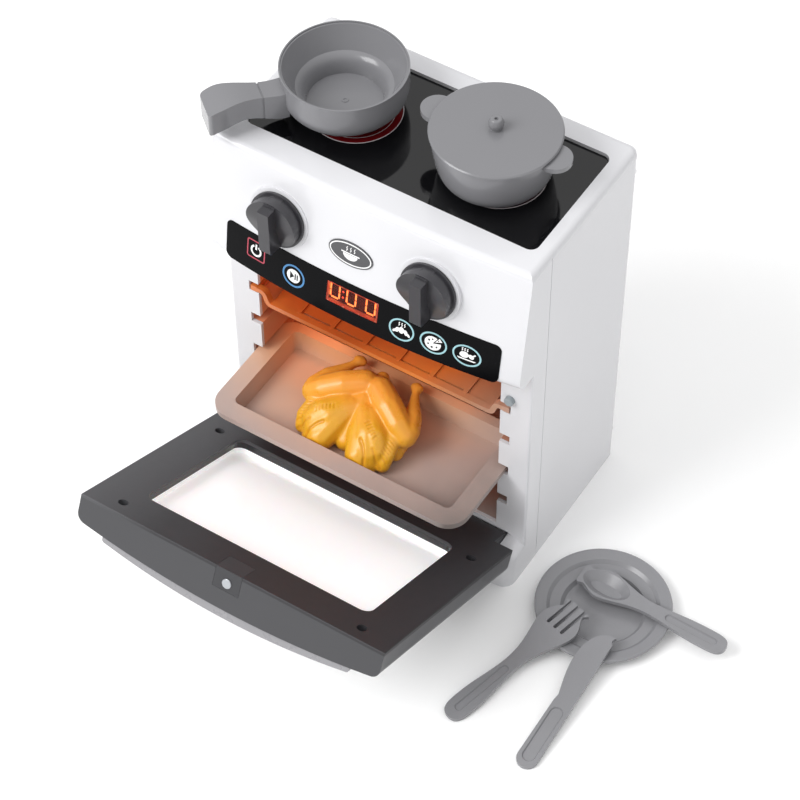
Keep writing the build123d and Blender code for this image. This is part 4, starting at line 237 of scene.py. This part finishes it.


# painted highlight and reflection: a pale line round each burner's outer edge and another just inside it,
# laid on as thin ink
BURNER_X, BURNER_Y, BURNER_RADIUS, HOB_TOP = 45.3, -1.95, 25.6, 258.0
painted_highlight_ink = screen_ink("painted_highlight_pale_grey", "b9b2b4")
for side in (-1, 1):
    sheet = bmesh.new()
    border(sheet, oval(sheet, 0, 0, 2 * BURNER_RADIUS + 0.9, 2 * BURNER_RADIUS + 0.9, 96), 0.5)
    border(sheet, oval(sheet, 0, 0, 2 * BURNER_RADIUS - 7.4, 2 * BURNER_RADIUS - 7.4, 96), 0.3)
    bmesh.ops.rotate(sheet, verts=sheet.verts[:], matrix=Matrix.Rotation(math.pi / 2, 3, "X"))
    made = bmesh.ops.extrude_face_region(sheet, geom=sheet.faces[:], use_keep_orig=True)
    raised = [vert for vert in made["geom"] if isinstance(vert, bmesh.types.BMVert)]
    bmesh.ops.translate(sheet, verts=raised, vec=(0, 0, 0.08))
    bmesh.ops.translate(sheet, verts=sheet.verts[:], vec=(side * BURNER_X, BURNER_Y, HOB_TOP))
    bmesh.ops.recalc_face_normals(sheet, faces=sheet.faces[:])
    settle("burner_painted_highlight_" + ("left" if side < 0 else "right"), sheet, painted_highlight_ink, "casing")


# ---- Control panel ------------------------------------------------------------------------
# A black printed PET label bent over the panel, with a smoked red acrylic window over a lit
# clock, plain pictograms in screen ink, and an oval badge with a light border above it.

# back-printed PET: a deep black that gives back very little light
label_pet = moulded("control_label_pet", "08080a", 0.12, drift=0.1, grain=8, relief=0.003, gloss=1.14)
dress(label_pet, "control_label")
badge_abs = moulded("badge_painted_grey", "48484b", 0.3, grain=0.6)
dress(badge_abs, "badge")
switch_black = moulded("switch_nylon_black", "1c1c1e", 0.45)
dress(switch_black, "display_module", "rotary_switch_left", "rotary_switch_right", "door_switch",
      "battery_box", "speaker")
plunger_nylon = moulded("plunger_acetal_grey", "8f979b", 0.35)
dress(plunger_nylon, "switch_plunger")

smoked, surface = new_material("display_acrylic_red")
ripple = add(smoked, "TexNoise", Vector=add(smoked, "TexCoord").outputs["Object"], Scale=1000 / 4)
wire(smoked, add(smoked, "MapRange", Value=ripple.outputs["Fac"], _3=0.02, _4=0.06).outputs["Result"],
     surface.inputs["Roughness"])
surface.inputs["Base Color"].default_value = linear("ef8468")
surface.inputs["IOR"].default_value = 1.2
surface.inputs["Transmission Weight"].default_value = 1
dress(smoked, "display_window")


def lit(name, shade, strength):
    """A lamp segment behind its diffuser: brighter in the middle of each grain of the diffuser."""
    material, surface = new_material(name)
    speck = add(material, "TexNoise", Vector=add(material, "TexCoord").outputs["Object"], Scale=1000 / 0.5)
    glow = add(material, "MapRange", Value=speck.outputs["Fac"], _3=strength * 0.85, _4=strength * 1.15)
    surface.inputs["Base Color"].default_value = linear(shade)
    surface.inputs["Emission Color"].default_value = linear(shade)
    wire(material, glow.outputs["Result"], surface.inputs["Emission Strength"])
    return material


def patch(sheet, *corners):
    """A flat face drawn through corners in x and z."""
    return sheet.faces.new([sheet.verts.new((x, 0, z)) for x, z in corners])


def stroke_line(sheet, width, *points):
    """A line of even width through points in x and z, one face for each run."""
    for start, end in zip(points, points[1:]):
        run = Vector((end[0] - start[0], end[1] - start[1]))
        across = Vector((-run.y, run.x)).normalized() * width / 2
        patch(sheet, (start[0] + across.x, start[1] + across.y), (start[0] - across.x, start[1] - across.y),
              (end[0] - across.x, end[1] - across.y), (end[0] + across.x, end[1] + across.y))


def lay_on(name, sheet, skin, material, ink=0.08, under=0.0):
    """Lays a flat drawing on a surface that faces the front, ink thick, and under behind it."""
    made = bmesh.ops.extrude_face_region(sheet, geom=sheet.faces[:], use_keep_orig=True)
    upper = {vert for vert in made["geom"] if isinstance(vert, bmesh.types.BMVert)}
    for vert in sheet.verts:
        ray = Vector((vert.co.x / 1000, -0.2, vert.co.z / 1000))
        found = skin.ray_cast(ray, Vector((0, 1, 0)))[0]
        vert.co.y = found.y * 1000 + under - (ink if vert in upper else 0)
    bmesh.ops.recalc_face_normals(sheet, faces=sheet.faces[:])
    settle(name, sheet, material, "casing")


label_skin = skin_of("control_label")
white_ink = screen_ink("ink_white", "f4f4f4")
black_ink = screen_ink("ink_black", "0a0a0c")
sky_ink = screen_ink("ink_pale_blue", "9cc6cd")

# on and off: a red square round a broken ring and its bar
POWER_X, POWER_Z, POWER_SIDE = -66.8, 197.0, 12.6
sheet = bmesh.new()
half = POWER_SIDE / 2
patch(sheet, (POWER_X - half, POWER_Z - half), (POWER_X + half, POWER_Z - half),
      (POWER_X + half, POWER_Z + half), (POWER_X - half, POWER_Z + half))
bmesh.ops.bevel(sheet, geom=sheet.verts[:], affect="VERTICES", offset=1.6, segments=5, profile=0.5,
                material=-1)
border(sheet, sheet.faces[:][0], 0.75)
lay_on("power_square", sheet, label_skin, screen_ink("ink_rose", "b84a5a"))

sheet = bmesh.new()
border(sheet, oval(sheet, POWER_X, POWER_Z - 0.3, 7.6, 7.6), 1.15)
gap = [face for face in sheet.faces if abs(face.calc_center_median().x - POWER_X) < 1.5
       and face.calc_center_median().z > POWER_Z]
bmesh.ops.delete(sheet, geom=gap, context="FACES")
stroke_line(sheet, 1.1, (POWER_X, POWER_Z + 4.0), (POWER_X, POWER_Z + 0.4))
lay_on("power_sign", sheet, label_skin, white_ink)

# start and pause: a blue ring, a white disc, a triangle and two bars
START_X, START_Z = -40.5, 194.0
sheet = bmesh.new()
border(sheet, oval(sheet, START_X, START_Z, 15.0, 14.4), 1.1)
lay_on("start_ring", sheet, label_skin, screen_ink("ink_blue", "4f86b8"))
sheet = bmesh.new()
oval(sheet, START_X, START_Z, 8.8, 8.6)
lay_on("start_disc", sheet, label_skin, white_ink)
sheet = bmesh.new()
patch(sheet, (START_X - 2.3, START_Z - 2.4), (START_X + 0.5, START_Z), (START_X - 2.3, START_Z + 2.4))
stroke_line(sheet, 0.8, (START_X + 1.2, START_Z - 2.0), (START_X + 1.2, START_Z + 2.0))
stroke_line(sheet, 0.8, (START_X + 2.6, START_Z - 1.8), (START_X + 2.6, START_Z + 1.8))
lay_on("start_sign", sheet, label_skin, black_ink, ink=0.14)

# three programmes, each in a pale blue ring: pastry, pizza and roast
PROGRAMMES = ((29.7, 193.0, 15.6, 14.2), (49.1, 193.1, 16.4, 14.0), (69.0, 193.3, 17.0, 13.8))
sheet = bmesh.new()
for x, z, wide, tall in PROGRAMMES:
    border(sheet, oval(sheet, x, z, wide, tall), 1.0)
lay_on("programme_rings", sheet, label_skin, sky_ink)


def steam(sheet, x, z, count, pitch=1.7, tall=2.4):
    """Wavy wisps of steam side by side."""
    for at in range(count):
        left = x + (at - (count - 1) / 2) * pitch
        stroke_line(sheet, 0.45, (left - 0.3, z), (left + 0.3, z + tall / 3),
                    (left - 0.3, z + 2 * tall / 3), (left + 0.3, z + tall))


pastry_x, pastry_z = PROGRAMMES[0][:2]
sheet = bmesh.new()
LOBES = ((-4.3, -1.9, 1.5, 2.6, 40), (-2.6, -0.8, 2.3, 3.6, 22), (0, -0.3, 3.2, 4.3, 0),
         (2.7, -0.9, 2.3, 3.6, -22), (4.4, -2.0, 1.5, 2.6, -40))
for along, up, wide, tall, turn in LOBES:
    oval(sheet, pastry_x + along, pastry_z + up, wide, tall, 24, turn)
steam(sheet, pastry_x, pastry_z + 2.3, 3)
lay_on("pastry_sign", sheet, label_skin, white_ink)

pizza_x, pizza_z = PROGRAMMES[1][:2]
SLICES = 24
sheet = bmesh.new()
rim = [(math.cos(math.tau * at / SLICES), math.sin(math.tau * at / SLICES)) for at in range(4, SLICES + 2)]
patch(sheet, (pizza_x - 0.3, pizza_z - 0.3),
      *((pizza_x - 0.3 + 4.9 * c, pizza_z - 0.3 + 4.5 * s) for c, s in rim))
patch(sheet, (pizza_x + 1.0, pizza_z + 0.9), (pizza_x + 5.2, pizza_z + 2.5), (pizza_x + 3.4, pizza_z + 4.4))
lay_on("pizza_sign", sheet, label_skin, white_ink)
sheet = bmesh.new()
TOPPINGS = ((-2.6, 1.3, 1.3), (-2.9, -1.4, 1.1), (-0.6, -2.9, 1.3), (2.2, -2.0, 1.1), (-0.6, 2.4, 1.0),
            (2.9, 2.6, 0.8))
for along, up, size in TOPPINGS:
    oval(sheet, pizza_x + along, pizza_z + up, size, size, 16)
lay_on("pizza_toppings", sheet, label_skin, black_ink, ink=0.14)

roast_x, roast_z = PROGRAMMES[2][:2]
sheet = bmesh.new()
patch(sheet, (roast_x - 5.6, roast_z - 2.3), (roast_x - 4.6, roast_z - 3.1), (roast_x + 4.6, roast_z - 3.1),
      (roast_x + 5.6, roast_z - 2.3))
oval(sheet, roast_x - 1.6, roast_z + 0.2, 5.4, 4.0, 28, -8)
oval(sheet, roast_x + 2.6, roast_z + 0.1, 3.4, 2.6, 24, 35)
stroke_line(sheet, 0.9, (roast_x + 3.4, roast_z + 0.8), (roast_x + 5.0, roast_z + 2.2))
steam(sheet, roast_x - 1.4, roast_z + 2.6, 3, 1.5, 2.2)
lay_on("roast_sign", sheet, label_skin, white_ink)

# the badge: a light border, and a steaming bowl in place of words
BADGE_X, BADGE_Z = -5.9, 226.6
badge_skin = skin_of("badge")
sheet = bmesh.new()
border(sheet, oval(sheet, BADGE_X, BADGE_Z, 26.4, 13.4, 64), 0.65)
bowl = [(math.cos(math.pi * at / 14), math.sin(math.pi * at / 14)) for at in range(15)]
patch(sheet, *((BADGE_X + 4.6 * c, BADGE_Z - 0.4 - 3.4 * s) for c, s in bowl))
stroke_line(sheet, 0.7, (BADGE_X - 5.8, BADGE_Z + 0.3), (BADGE_X + 5.8, BADGE_Z + 0.3))
steam(sheet, BADGE_X, BADGE_Z + 1.5, 3, 2.4, 3.0)
lay_on("badge_print", sheet, badge_skin, white_ink)

# the clock: a dark face set back in the panel's opening, with lit segments on it
CLOCK_X, CLOCK_Z, CLOCK_WIDE, CLOCK_TALL, CLOCK_DEEP = -2.0, 196.5, 30.6, 11.1, 1.9
FACE_THICK = 0.3
DIGIT_WIDE, DIGIT_TALL, DIGIT_RISE, SEGMENT = 5.6, 9.4, 0.4, 1.0
window_skin = skin_of("display_window")
sheet = bmesh.new()
across, up = CLOCK_WIDE / 2, CLOCK_TALL / 2
patch(sheet, (CLOCK_X - across, CLOCK_Z - up), (CLOCK_X + across, CLOCK_Z - up),
      (CLOCK_X + across, CLOCK_Z + up), (CLOCK_X - across, CLOCK_Z + up))
bmesh.ops.subdivide_edges(sheet, edges=sheet.edges[:], cuts=5, use_grid_fill=True)
lay_on("clock_face", sheet, window_skin, moulded("clock_face_maroon", "3c0c0a", 0.5), ink=FACE_THICK,
       under=CLOCK_DEEP + FACE_THICK)

sheet = bmesh.new()
for x in (-12.0, -1.5, 10.9):
    left, right = CLOCK_X + x - DIGIT_WIDE / 2, CLOCK_X + x + DIGIT_WIDE / 2
    low, high = (CLOCK_Z + DIGIT_RISE + half * DIGIT_TALL / 2 for half in (-1, 1))
    for side in (left, right):
        stroke_line(sheet, SEGMENT, (side, low + 0.5), (side, CLOCK_Z - 0.35))
        stroke_line(sheet, SEGMENT, (side, CLOCK_Z + 0.35), (side, high - 0.5))
    for level in (low, high):
        stroke_line(sheet, SEGMENT, (left + 0.6, level), (right - 0.6, level))
lay_on("clock_segments", sheet, window_skin, lit("segment_amber_lit", "ffe9a0", 2.4), under=CLOCK_DEEP)
sheet = bmesh.new()
for level in (-1.9, 1.9):
    oval(sheet, CLOCK_X - 6.8, CLOCK_Z + level, 1.3, 1.3, 16)
lay_on("clock_colon", sheet, window_skin, lit("colon_rose_lit", "ff9c90", 1.2), under=CLOCK_DEEP)


# ---- Knobs --------------------------------------------------------------------------------
# Two dark grey ABS mouldings with a bar grip, pressed on to the switch shafts. Their satin skin
# comes from a lightly blasted tool.

knob_abs = moulded("knob_abs_dark", "343337", 0.32, drift=0.03, grain=0.6, relief=0.006)
dress(knob_abs, "knob_left", "knob_right")


# ---- Steel --------------------------------------------------------------------------------
# Screws, pins, shafts, springs, contacts and the cells' cases: steel wire and turned bar with a
# bright zinc plate. Fine tool marks spread its shine.

steel, surface = new_material("steel_zinc_plated")
surface.inputs["Metallic"].default_value = 1
surface.inputs["Base Color"].default_value = linear("b9bcc0")
turned = add(steel, "TexNoise", Vector=add(steel, "TexCoord").outputs["Object"], Scale=1000 / 1.5, Detail=4)
wire(steel, add(steel, "MapRange", Value=turned.outputs["Fac"], _3=0.25, _4=0.45).outputs["Result"],
     surface.inputs["Roughness"])
dress(steel, "board_screws", "housing_screws", "base_screws", "door_screws", "hinge_pins", "latch_spring",
      "plunger_spring", "battery_contacts", "battery_cover_screw", "knob_shaft_left", "knob_shaft_right",
      "latch_pin", "batteries")


# ---- Door ---------------------------------------------------------------------------------
# Two dark grey ABS mouldings screwed together round an opal pane, with a satin skin from a
# lightly blasted tool, and a lighter grey handle pressed on.

# how far the door leans out from upright as it stands open
DOOR_LEAN = math.radians(65)
door_abs = moulded("door_abs_dark", "3e3e41", 0.3, drift=0.03, grain=0.6, relief=0.006)
dress(door_abs, "door_outer_shell")
latch_acetal = moulded("latch_acetal_dark", "363639", 0.5, grain=0.6)
dress(latch_acetal, "latch_block")
door_liner_abs = moulded("door_liner_abs_darker", "2d2c2f", 0.5, drift=0.03, grain=0.6, relief=0.006)
# painted light: a paler tone towards the door's left end, where light falls across it
PAINTED_LIGHT_FROM, DARK_FROM = -0.096, -0.05
surface = door_liner_abs.node_tree.nodes["Principled BSDF"]
even = surface.inputs["Base Color"].links[0].from_socket
place = add(door_liner_abs, "TexCoord").outputs["Object"]
across = add(door_liner_abs, "SeparateXYZ", Vector=place).outputs["X"]
along = add(door_liner_abs, "MapRange", Value=across, _1=PAINTED_LIGHT_FROM, _2=DARK_FROM).outputs["Result"]
painted_light_tone = add(door_liner_abs, "Mix", {"data_type": "RGBA"}, Factor=along, _6=linear("4c4c4f"), _7=even)
wire(door_liner_abs, painted_light_tone.outputs[2], surface.inputs["Base Color"])
dress(door_liner_abs, "door_inner_panel")

# opal polycarbonate, moulded in a polished tool: milky through its whole thickness
window_opal = moulded("window_polycarbonate_opal", "fdfdfd", 0.14, drift=0.005, grain=5, relief=0.004)
surface = window_opal.node_tree.nodes["Principled BSDF"]
surface.inputs["Subsurface Weight"].default_value = 0.3
surface.inputs["Subsurface Scale"].default_value = 0.002
# painted light: a little glow of its own stands in for the daylight that such a pane gathers
surface.inputs["Emission Strength"].default_value = 0.2
# the upper part of the pane's wall is coloured dark, to go with the panel round it
COLLAR_DEEP, COLLAR_EDGE = 3.6, 0.3
outward = (0, math.cos(DOOR_LEAN), math.sin(DOOR_LEAN))
rim = max(vert.co.dot(outward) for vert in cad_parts["door_window"].data.vertices)
place = add(window_opal, "TexCoord").outputs["Object"]
depth = add(window_opal, "VectorMath", {"operation": "DOT_PRODUCT"}, _0=place, _1=outward).outputs["Value"]
dark = add(window_opal, "MapRange", Value=depth, _1=rim - (COLLAR_DEEP + COLLAR_EDGE) / 1000,
           _2=rim - COLLAR_DEEP / 1000).outputs["Result"]
milky = surface.inputs["Base Color"].links[0].from_socket
for socket, pane, collar in (("Base Color", milky, "1d1c1f"), ("Emission Color", linear("ffffff"), "000000")):
    mixed = add(window_opal, "Mix", {"data_type": "RGBA"}, Factor=dark, _6=pane, _7=linear(collar))
    wire(window_opal, mixed.outputs[2], surface.inputs[socket])
dress(window_opal, "door_window")

handle_abs = moulded("handle_abs_grey", "8f8e91", 0.28)
dress(handle_abs, "door_handle")


# ---- Rack and tray ------------------------------------------------------------------------
# Two plain grey ABS mouldings from satin tools, which slide in the liner's grooves. The lamps'
# orange is painted light in them; it fades towards the oven's mouth to grey, on the tray to a painted shade.

RACK_STOPS = ((70, "b05624"), (92, "d97c38"), (120, "b48264"), (140, "bc9c8e"), (175, "aaa3a0"))
rack_abs = warmed("rack_abs_grey", RACK_STOPS, 0.32, 0.6, 0.004)
dress(rack_abs, "oven_rack")
# the tray's last, darkest stop is painted shade on its floor far from the lamps
TRAY_STOPS = ((105, "e2a678"), (125, "cca790"), (147, "ae9a92"), (180, "786f6b"))
tray_abs = warmed("tray_abs_grey", TRAY_STOPS, 0.36, 0.6, 0.004)
dress(tray_abs, "baking_tray")


# ---- Roast chicken ------------------------------------------------------------------------
# Soft PVC, rotation moulded in one piece and sprayed: orange on the legs, yellower in front,
# with a gloss like basted skin, and painted shade that darkens the folds and marks.

CHICKEN_MID = -5.5
# the moulding's extent in x, y and z; it stands on the tray's floor
CHICKEN_REACH = ((-44.5, 33.5), (-93.5, -30.5), (75.0, 109))
VOXEL = 0.6
ROW = 9
SMOOTHINGS = 10

# each limb runs through stations of distance from the middle, y, z and radius, on both sides
LIMBS = (
    ((0, -48, 90, 11), (0, -60, 88, 13), (0, -72, 83, 10), (0, -80, 80, 6.5)),
    ((6, -60, 86, 12), (18, -64, 84, 11), (26, -67, 82, 8)),
    ((0, -48, 95, 8), (0, -44, 95, 5.6), (0, -40.8, 95.5, 4.6)),
    ((5, -51, 98.5, 8.6), (15, -57.5, 97.5, 8.8), (25, -63, 93.5, 8.4), (31, -65.5, 90, 7.6)),
    ((31.5, -62.5, 91, 7), (29, -54, 92.5, 5.6), (24.5, -45.5, 93, 3.6), (21.5, -39.5, 93, 2.6)),
    ((21, -38, 93, 2.6), (19.6, -35, 93, 3.4)),
    ((17.6, -34.2, 92.6, 2.7), (19, -33.6, 93, 2.9), (21.2, -34.4, 93.4, 2.6)),
    ((4.5, -66, 93.5, 6.5), (8.5, -76, 89, 8), (13, -86, 82, 8.8), (16, -87.5, 78, 8.8)),
    ((7, -68, 93, 7), (12.5, -76, 89.8, 8.8), (17, -83, 84, 8.6), (18.5, -85, 79.5, 7.6)),
    ((9, -66, 93.5, 6.5), (17, -75.5, 90.5, 8.2), (21, -80, 86, 8), (21.5, -82, 80.5, 7)),
    ((20, -66, 89, 7), (27, -73, 88.5, 4.8), (28.6, -80, 85.5, 4.4), (27, -83.5, 80, 5)),
    ((27, -68, 82, 6.5), (28.5, -72, 79.5, 5.2)),
)


def balls(shape, stations):
    """Rows of overlapping balls through the stations, on both sides of the middle."""
    for start, end in zip(stations, stations[1:]):
        for step in range(ROW + 1):
            out, y, z, radius = (a + (b - a) * step / ROW for a, b in zip(start, end))
            for side in (-1, 1):
                bmesh.ops.create_icosphere(shape, subdivisions=2, radius=radius,
                                           matrix=Matrix.Translation((CHICKEN_MID + side * out, y, z)))


shape = bmesh.new()
for stations in LIMBS:
    balls(shape, stations)
lump = settle("chicken_lump", shape, white_abs, "chicken")
bpy.context.view_layer.objects.active = lump
fuse = lump.modifiers.new("fuse", "REMESH")
fuse.mode = "VOXEL"
fuse.voxel_size = VOXEL / 1000
skin_mesh = bpy.data.meshes.new_from_object(lump.evaluated_get(bpy.context.evaluated_depsgraph_get()))
bpy.data.objects.remove(lump)

shape = bmesh.new()
shape.from_mesh(skin_mesh)
bpy.data.meshes.remove(skin_mesh)
bmesh.ops.scale(shape, vec=(1000, 1000, 1000), verts=shape.verts[:])
for _ in range(SMOOTHINGS):
    bmesh.ops.smooth_vert(shape, verts=shape.verts[:], factor=0.5, use_axis_x=True, use_axis_y=True,
                          use_axis_z=True)
shape.normal_update()
# painted shade, kept for each vertex by how deep its fold or mark is carved
painted_fold_shade = shape.verts.layers.float.new("painted_fold_shade")

# folds between the wing joints, and their half width and depth
FOLDS = [
    (((12.5, -84), (15.5, -86), (18.5, -89.5), (20, -93)), 1.2, 1.0),
    (((28.5, -88), (24.5, -87), (21.5, -85)), 1.0, 0.5),
]
# feather marks on the wing, and cuts across the wing tip
MARKS = [(((11.6 + 1.8 * at, -73 - 1.15 * at), (10.6 + 1.8 * at, -75.3 - 1.15 * at)), 0.6, 0.45)
         for at in range(6)]
MARKS += [(((26.2, -74.6 - 1.9 * at), (30.4, -75.6 - 1.9 * at)), 0.5, 0.28) for at in range(6)]


# only what faces up and lies in front of this y is carved
FACING_UP, WINGS_FROM = 0.05, -55


def near(point, path):
    """How far a point in plan is from a path."""
    best = 1e9
    for start, end in zip(path, path[1:]):
        start, run = Vector(start), Vector(end) - Vector(start)
        along = max(0, min(1, (point - start).dot(run) / run.length_squared))
        best = min(best, (point - start - run * along).length)
    return best


for vert in shape.verts:
    if vert.normal.z < FACING_UP or vert.co.y > WINGS_FROM:
        continue
    plan = Vector((abs(vert.co.x - CHICKEN_MID), vert.co.y))
    for path, width, depth in FOLDS + MARKS:
        away = near(plan, path) / width
        if away < 1:
            push = (1 - away * away) ** 2
            vert.co -= vert.normal * depth * push
            vert[painted_fold_shade] = max(vert[painted_fold_shade], push)
for vert in shape.verts:
    for axis, (low, high) in enumerate(CHICKEN_REACH):
        vert.co[axis] = min(max(vert.co[axis], low), high)

chicken_pvc, surface = new_material("chicken_pvc_sprayed")
place = add(chicken_pvc, "TexCoord").outputs["Object"]
axes = add(chicken_pvc, "SeparateXYZ", Vector=place).outputs
cloud = add(chicken_pvc, "TexNoise", Vector=place, Scale=1000 / 18, Detail=3).outputs["Fac"]
drifted = add(chicken_pvc, "Math", {"operation": "MULTIPLY_ADD"}, _0=cloud, _1=0.02, _2=axes["Y"])
frontward = add(chicken_pvc, "MapRange", Value=drifted.outputs[0], _1=-0.048, _2=-0.068).outputs["Result"]
spray = add(chicken_pvc, "Mix", {"data_type": "RGBA"}, Factor=frontward, _6=linear("f2a03c"),
            _7=linear("dfa327"))
# painted shade: the folds and marks darken towards b8650e as deep as they were carved
folded = add(chicken_pvc, "Attribute", {"attribute_name": "painted_fold_shade"}).outputs["Fac"]
fold_shade_amount = add(chicken_pvc, "Math", {"operation": "MULTIPLY"}, _0=folded, _1=0.28)
tone = add(chicken_pvc, "Mix", {"data_type": "RGBA"}, Factor=fold_shade_amount.outputs[0], _6=spray.outputs[2],
           _7=linear("b8650e"))
wire(chicken_pvc, tone.outputs[2], surface.inputs["Base Color"])
basted = add(chicken_pvc, "TexNoise", Vector=place, Scale=1000 / 7, Detail=3).outputs["Fac"]
wire(chicken_pvc, add(chicken_pvc, "MapRange", Value=basted, _3=0.22, _4=0.36).outputs["Result"],
     surface.inputs["Roughness"])
pores = add(chicken_pvc, "TexNoise", Vector=place, Scale=1000 / 1.4, Detail=2).outputs["Fac"]
bump = add(chicken_pvc, "Bump", Height=pores, Distance=0.00002, Strength=1)
wire(chicken_pvc, bump.outputs["Normal"], surface.inputs["Normal"])
surface.inputs["Subsurface Weight"].default_value = 0.12
surface.inputs["Subsurface Scale"].default_value = 0.004
surface.inputs["Subsurface Radius"].default_value = (1.0, 0.4, 0.1)

roast = settle("roast_chicken_skin", shape, chicken_pvc, "chicken", smooth=True)
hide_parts("roast_chicken")


# ---- Cookware and tableware ---------------------------------------------------------------
# Loose play pieces in grey ABS, each moulded in one shot in a polished tool, so that they have a
# soft shine with slight sink marks. The table pieces are a shade lighter than the cookware.

cookware_abs = moulded("cookware_abs_grey", "7c7c7f", 0.2, grain=5, relief=0.01)
dress(cookware_abs, "frying_pan", "cooking_pot", "pot_lid")
tableware_abs = moulded("tableware_abs_grey", "848487", 0.24, grain=5, relief=0.01)
dress(tableware_abs, "dinner_plate", "fork", "knife", "spoon")

# the lid's knob: a turned barrel with a flared foot, a chamfered crown and a moulding hole
KNOB_X, KNOB_Y, KNOB_FOOT = 42.4, -1.95, 289.9
PROFILE = ((3.5, 0.0), (3.3, 0.5), (3.9, 2.0), (4.2, 3.2), (4.2, 4.6), (3.2, 6.6), (2.8, 7.0), (1.1, 7.0),
           (1.0, 5.6), (0.0, 5.6))
sheet = bmesh.new()
line = [sheet.verts.new((radius, 0, KNOB_FOOT + rise)) for radius, rise in PROFILE]
edges = [sheet.edges.new(pair) for pair in zip(line, line[1:])]
bmesh.ops.spin(sheet, geom=line + edges, cent=(0, 0, 0), axis=(0, 0, 1), angle=math.tau, steps=48,
               use_merge=True)
bmesh.ops.remove_doubles(sheet, verts=sheet.verts[:], dist=0.001)
bmesh.ops.holes_fill(sheet, edges=[edge for edge in sheet.edges if edge.is_boundary])
bmesh.ops.recalc_face_normals(sheet, faces=sheet.faces[:])
sharp = [edge for edge in sheet.edges if edge.is_manifold and edge.calc_face_angle() > 0.5]
bmesh.ops.bevel(sheet, geom=sharp, affect="EDGES", offset=0.12, segments=2, profile=0.5, material=-1)
bmesh.ops.translate(sheet, verts=sheet.verts[:], vec=(KNOB_X, KNOB_Y, 0))
crown = settle("pot_lid_knob_turned", sheet, cookware_abs, "lid", smooth=True)
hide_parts("pot_lid_knob")


# ---- Studio -------------------------------------------------------------------------------
# A white paper floor under a white dome that is brighter overhead, one softbox at the front
# left, and a long lens that looks down on the oven from its front right.

FLOOR_HALF = 6.0
mesh = bpy.data.meshes.new("studio_floor")
shape = bmesh.new()
bmesh.ops.create_grid(shape, x_segments=1, y_segments=1, size=FLOOR_HALF)
shape.to_mesh(mesh)
shape.free()
floor = bpy.data.objects.new("studio_floor", mesh)
bpy.context.scene.collection.objects.link(floor)
paper, surface = new_material("studio_paper")
surface.inputs["Base Color"].default_value = linear("fdfdfd")
surface.inputs["Roughness"].default_value = 0.9
mesh.materials.append(paper)

world = bpy.data.worlds.new("studio")
bpy.context.scene.world = world
world.use_nodes = True
background = world.node_tree.nodes["Background"]
background.inputs["Color"].default_value = linear("ffffff")
height = add(world, "SeparateXYZ", Vector=add(world, "TexCoord").outputs["Generated"]).outputs["Z"]
dome = add(world, "MapRange", Value=height, _1=-0.1, _2=1.0, _3=0.1, _4=1.32)
wire(world, dome.outputs["Result"], background.inputs["Strength"])
bpy.context.scene.view_settings.view_transform = "Standard"


def softbox(name, place, aim, size, power):
    """A square white studio lamp at place, facing aim."""
    lamp = bpy.data.lights.new(name, "AREA")
    lamp.shape = "SQUARE"
    lamp.size = size
    lamp.energy = power
    box = bpy.data.objects.new(name, lamp)
    bpy.context.scene.collection.objects.link(box)
    box.location = place
    box.rotation_mode = "QUATERNION"
    box.rotation_quaternion = (Vector(aim) - Vector(place)).to_track_quat("-Z", "Y")


softbox("key_softbox", (-1.3, -1.9, 2.1), (0, 0, 0.1), 1.6, 60)

CAMERA_PLACE, CAMERA_AIM = (0.52934, -0.84873, 1.25054), (0.01379, -0.05232, 0.10063)
CAMERA_ROLL = -0.53
camera_data = bpy.data.cameras.new("camera")
camera_data.sensor_width = 36
camera_data.lens = 117.73
camera = bpy.data.objects.new("camera", camera_data)
bpy.context.scene.collection.objects.link(camera)
camera.location = CAMERA_PLACE
camera.rotation_mode = "QUATERNION"
facing = (Vector(CAMERA_AIM) - camera.location).to_track_quat("-Z", "Y")
camera.rotation_quaternion = facing @ Matrix.Rotation(math.radians(CAMERA_ROLL), 4, "Z").to_quaternion()
bpy.context.scene.camera = camera
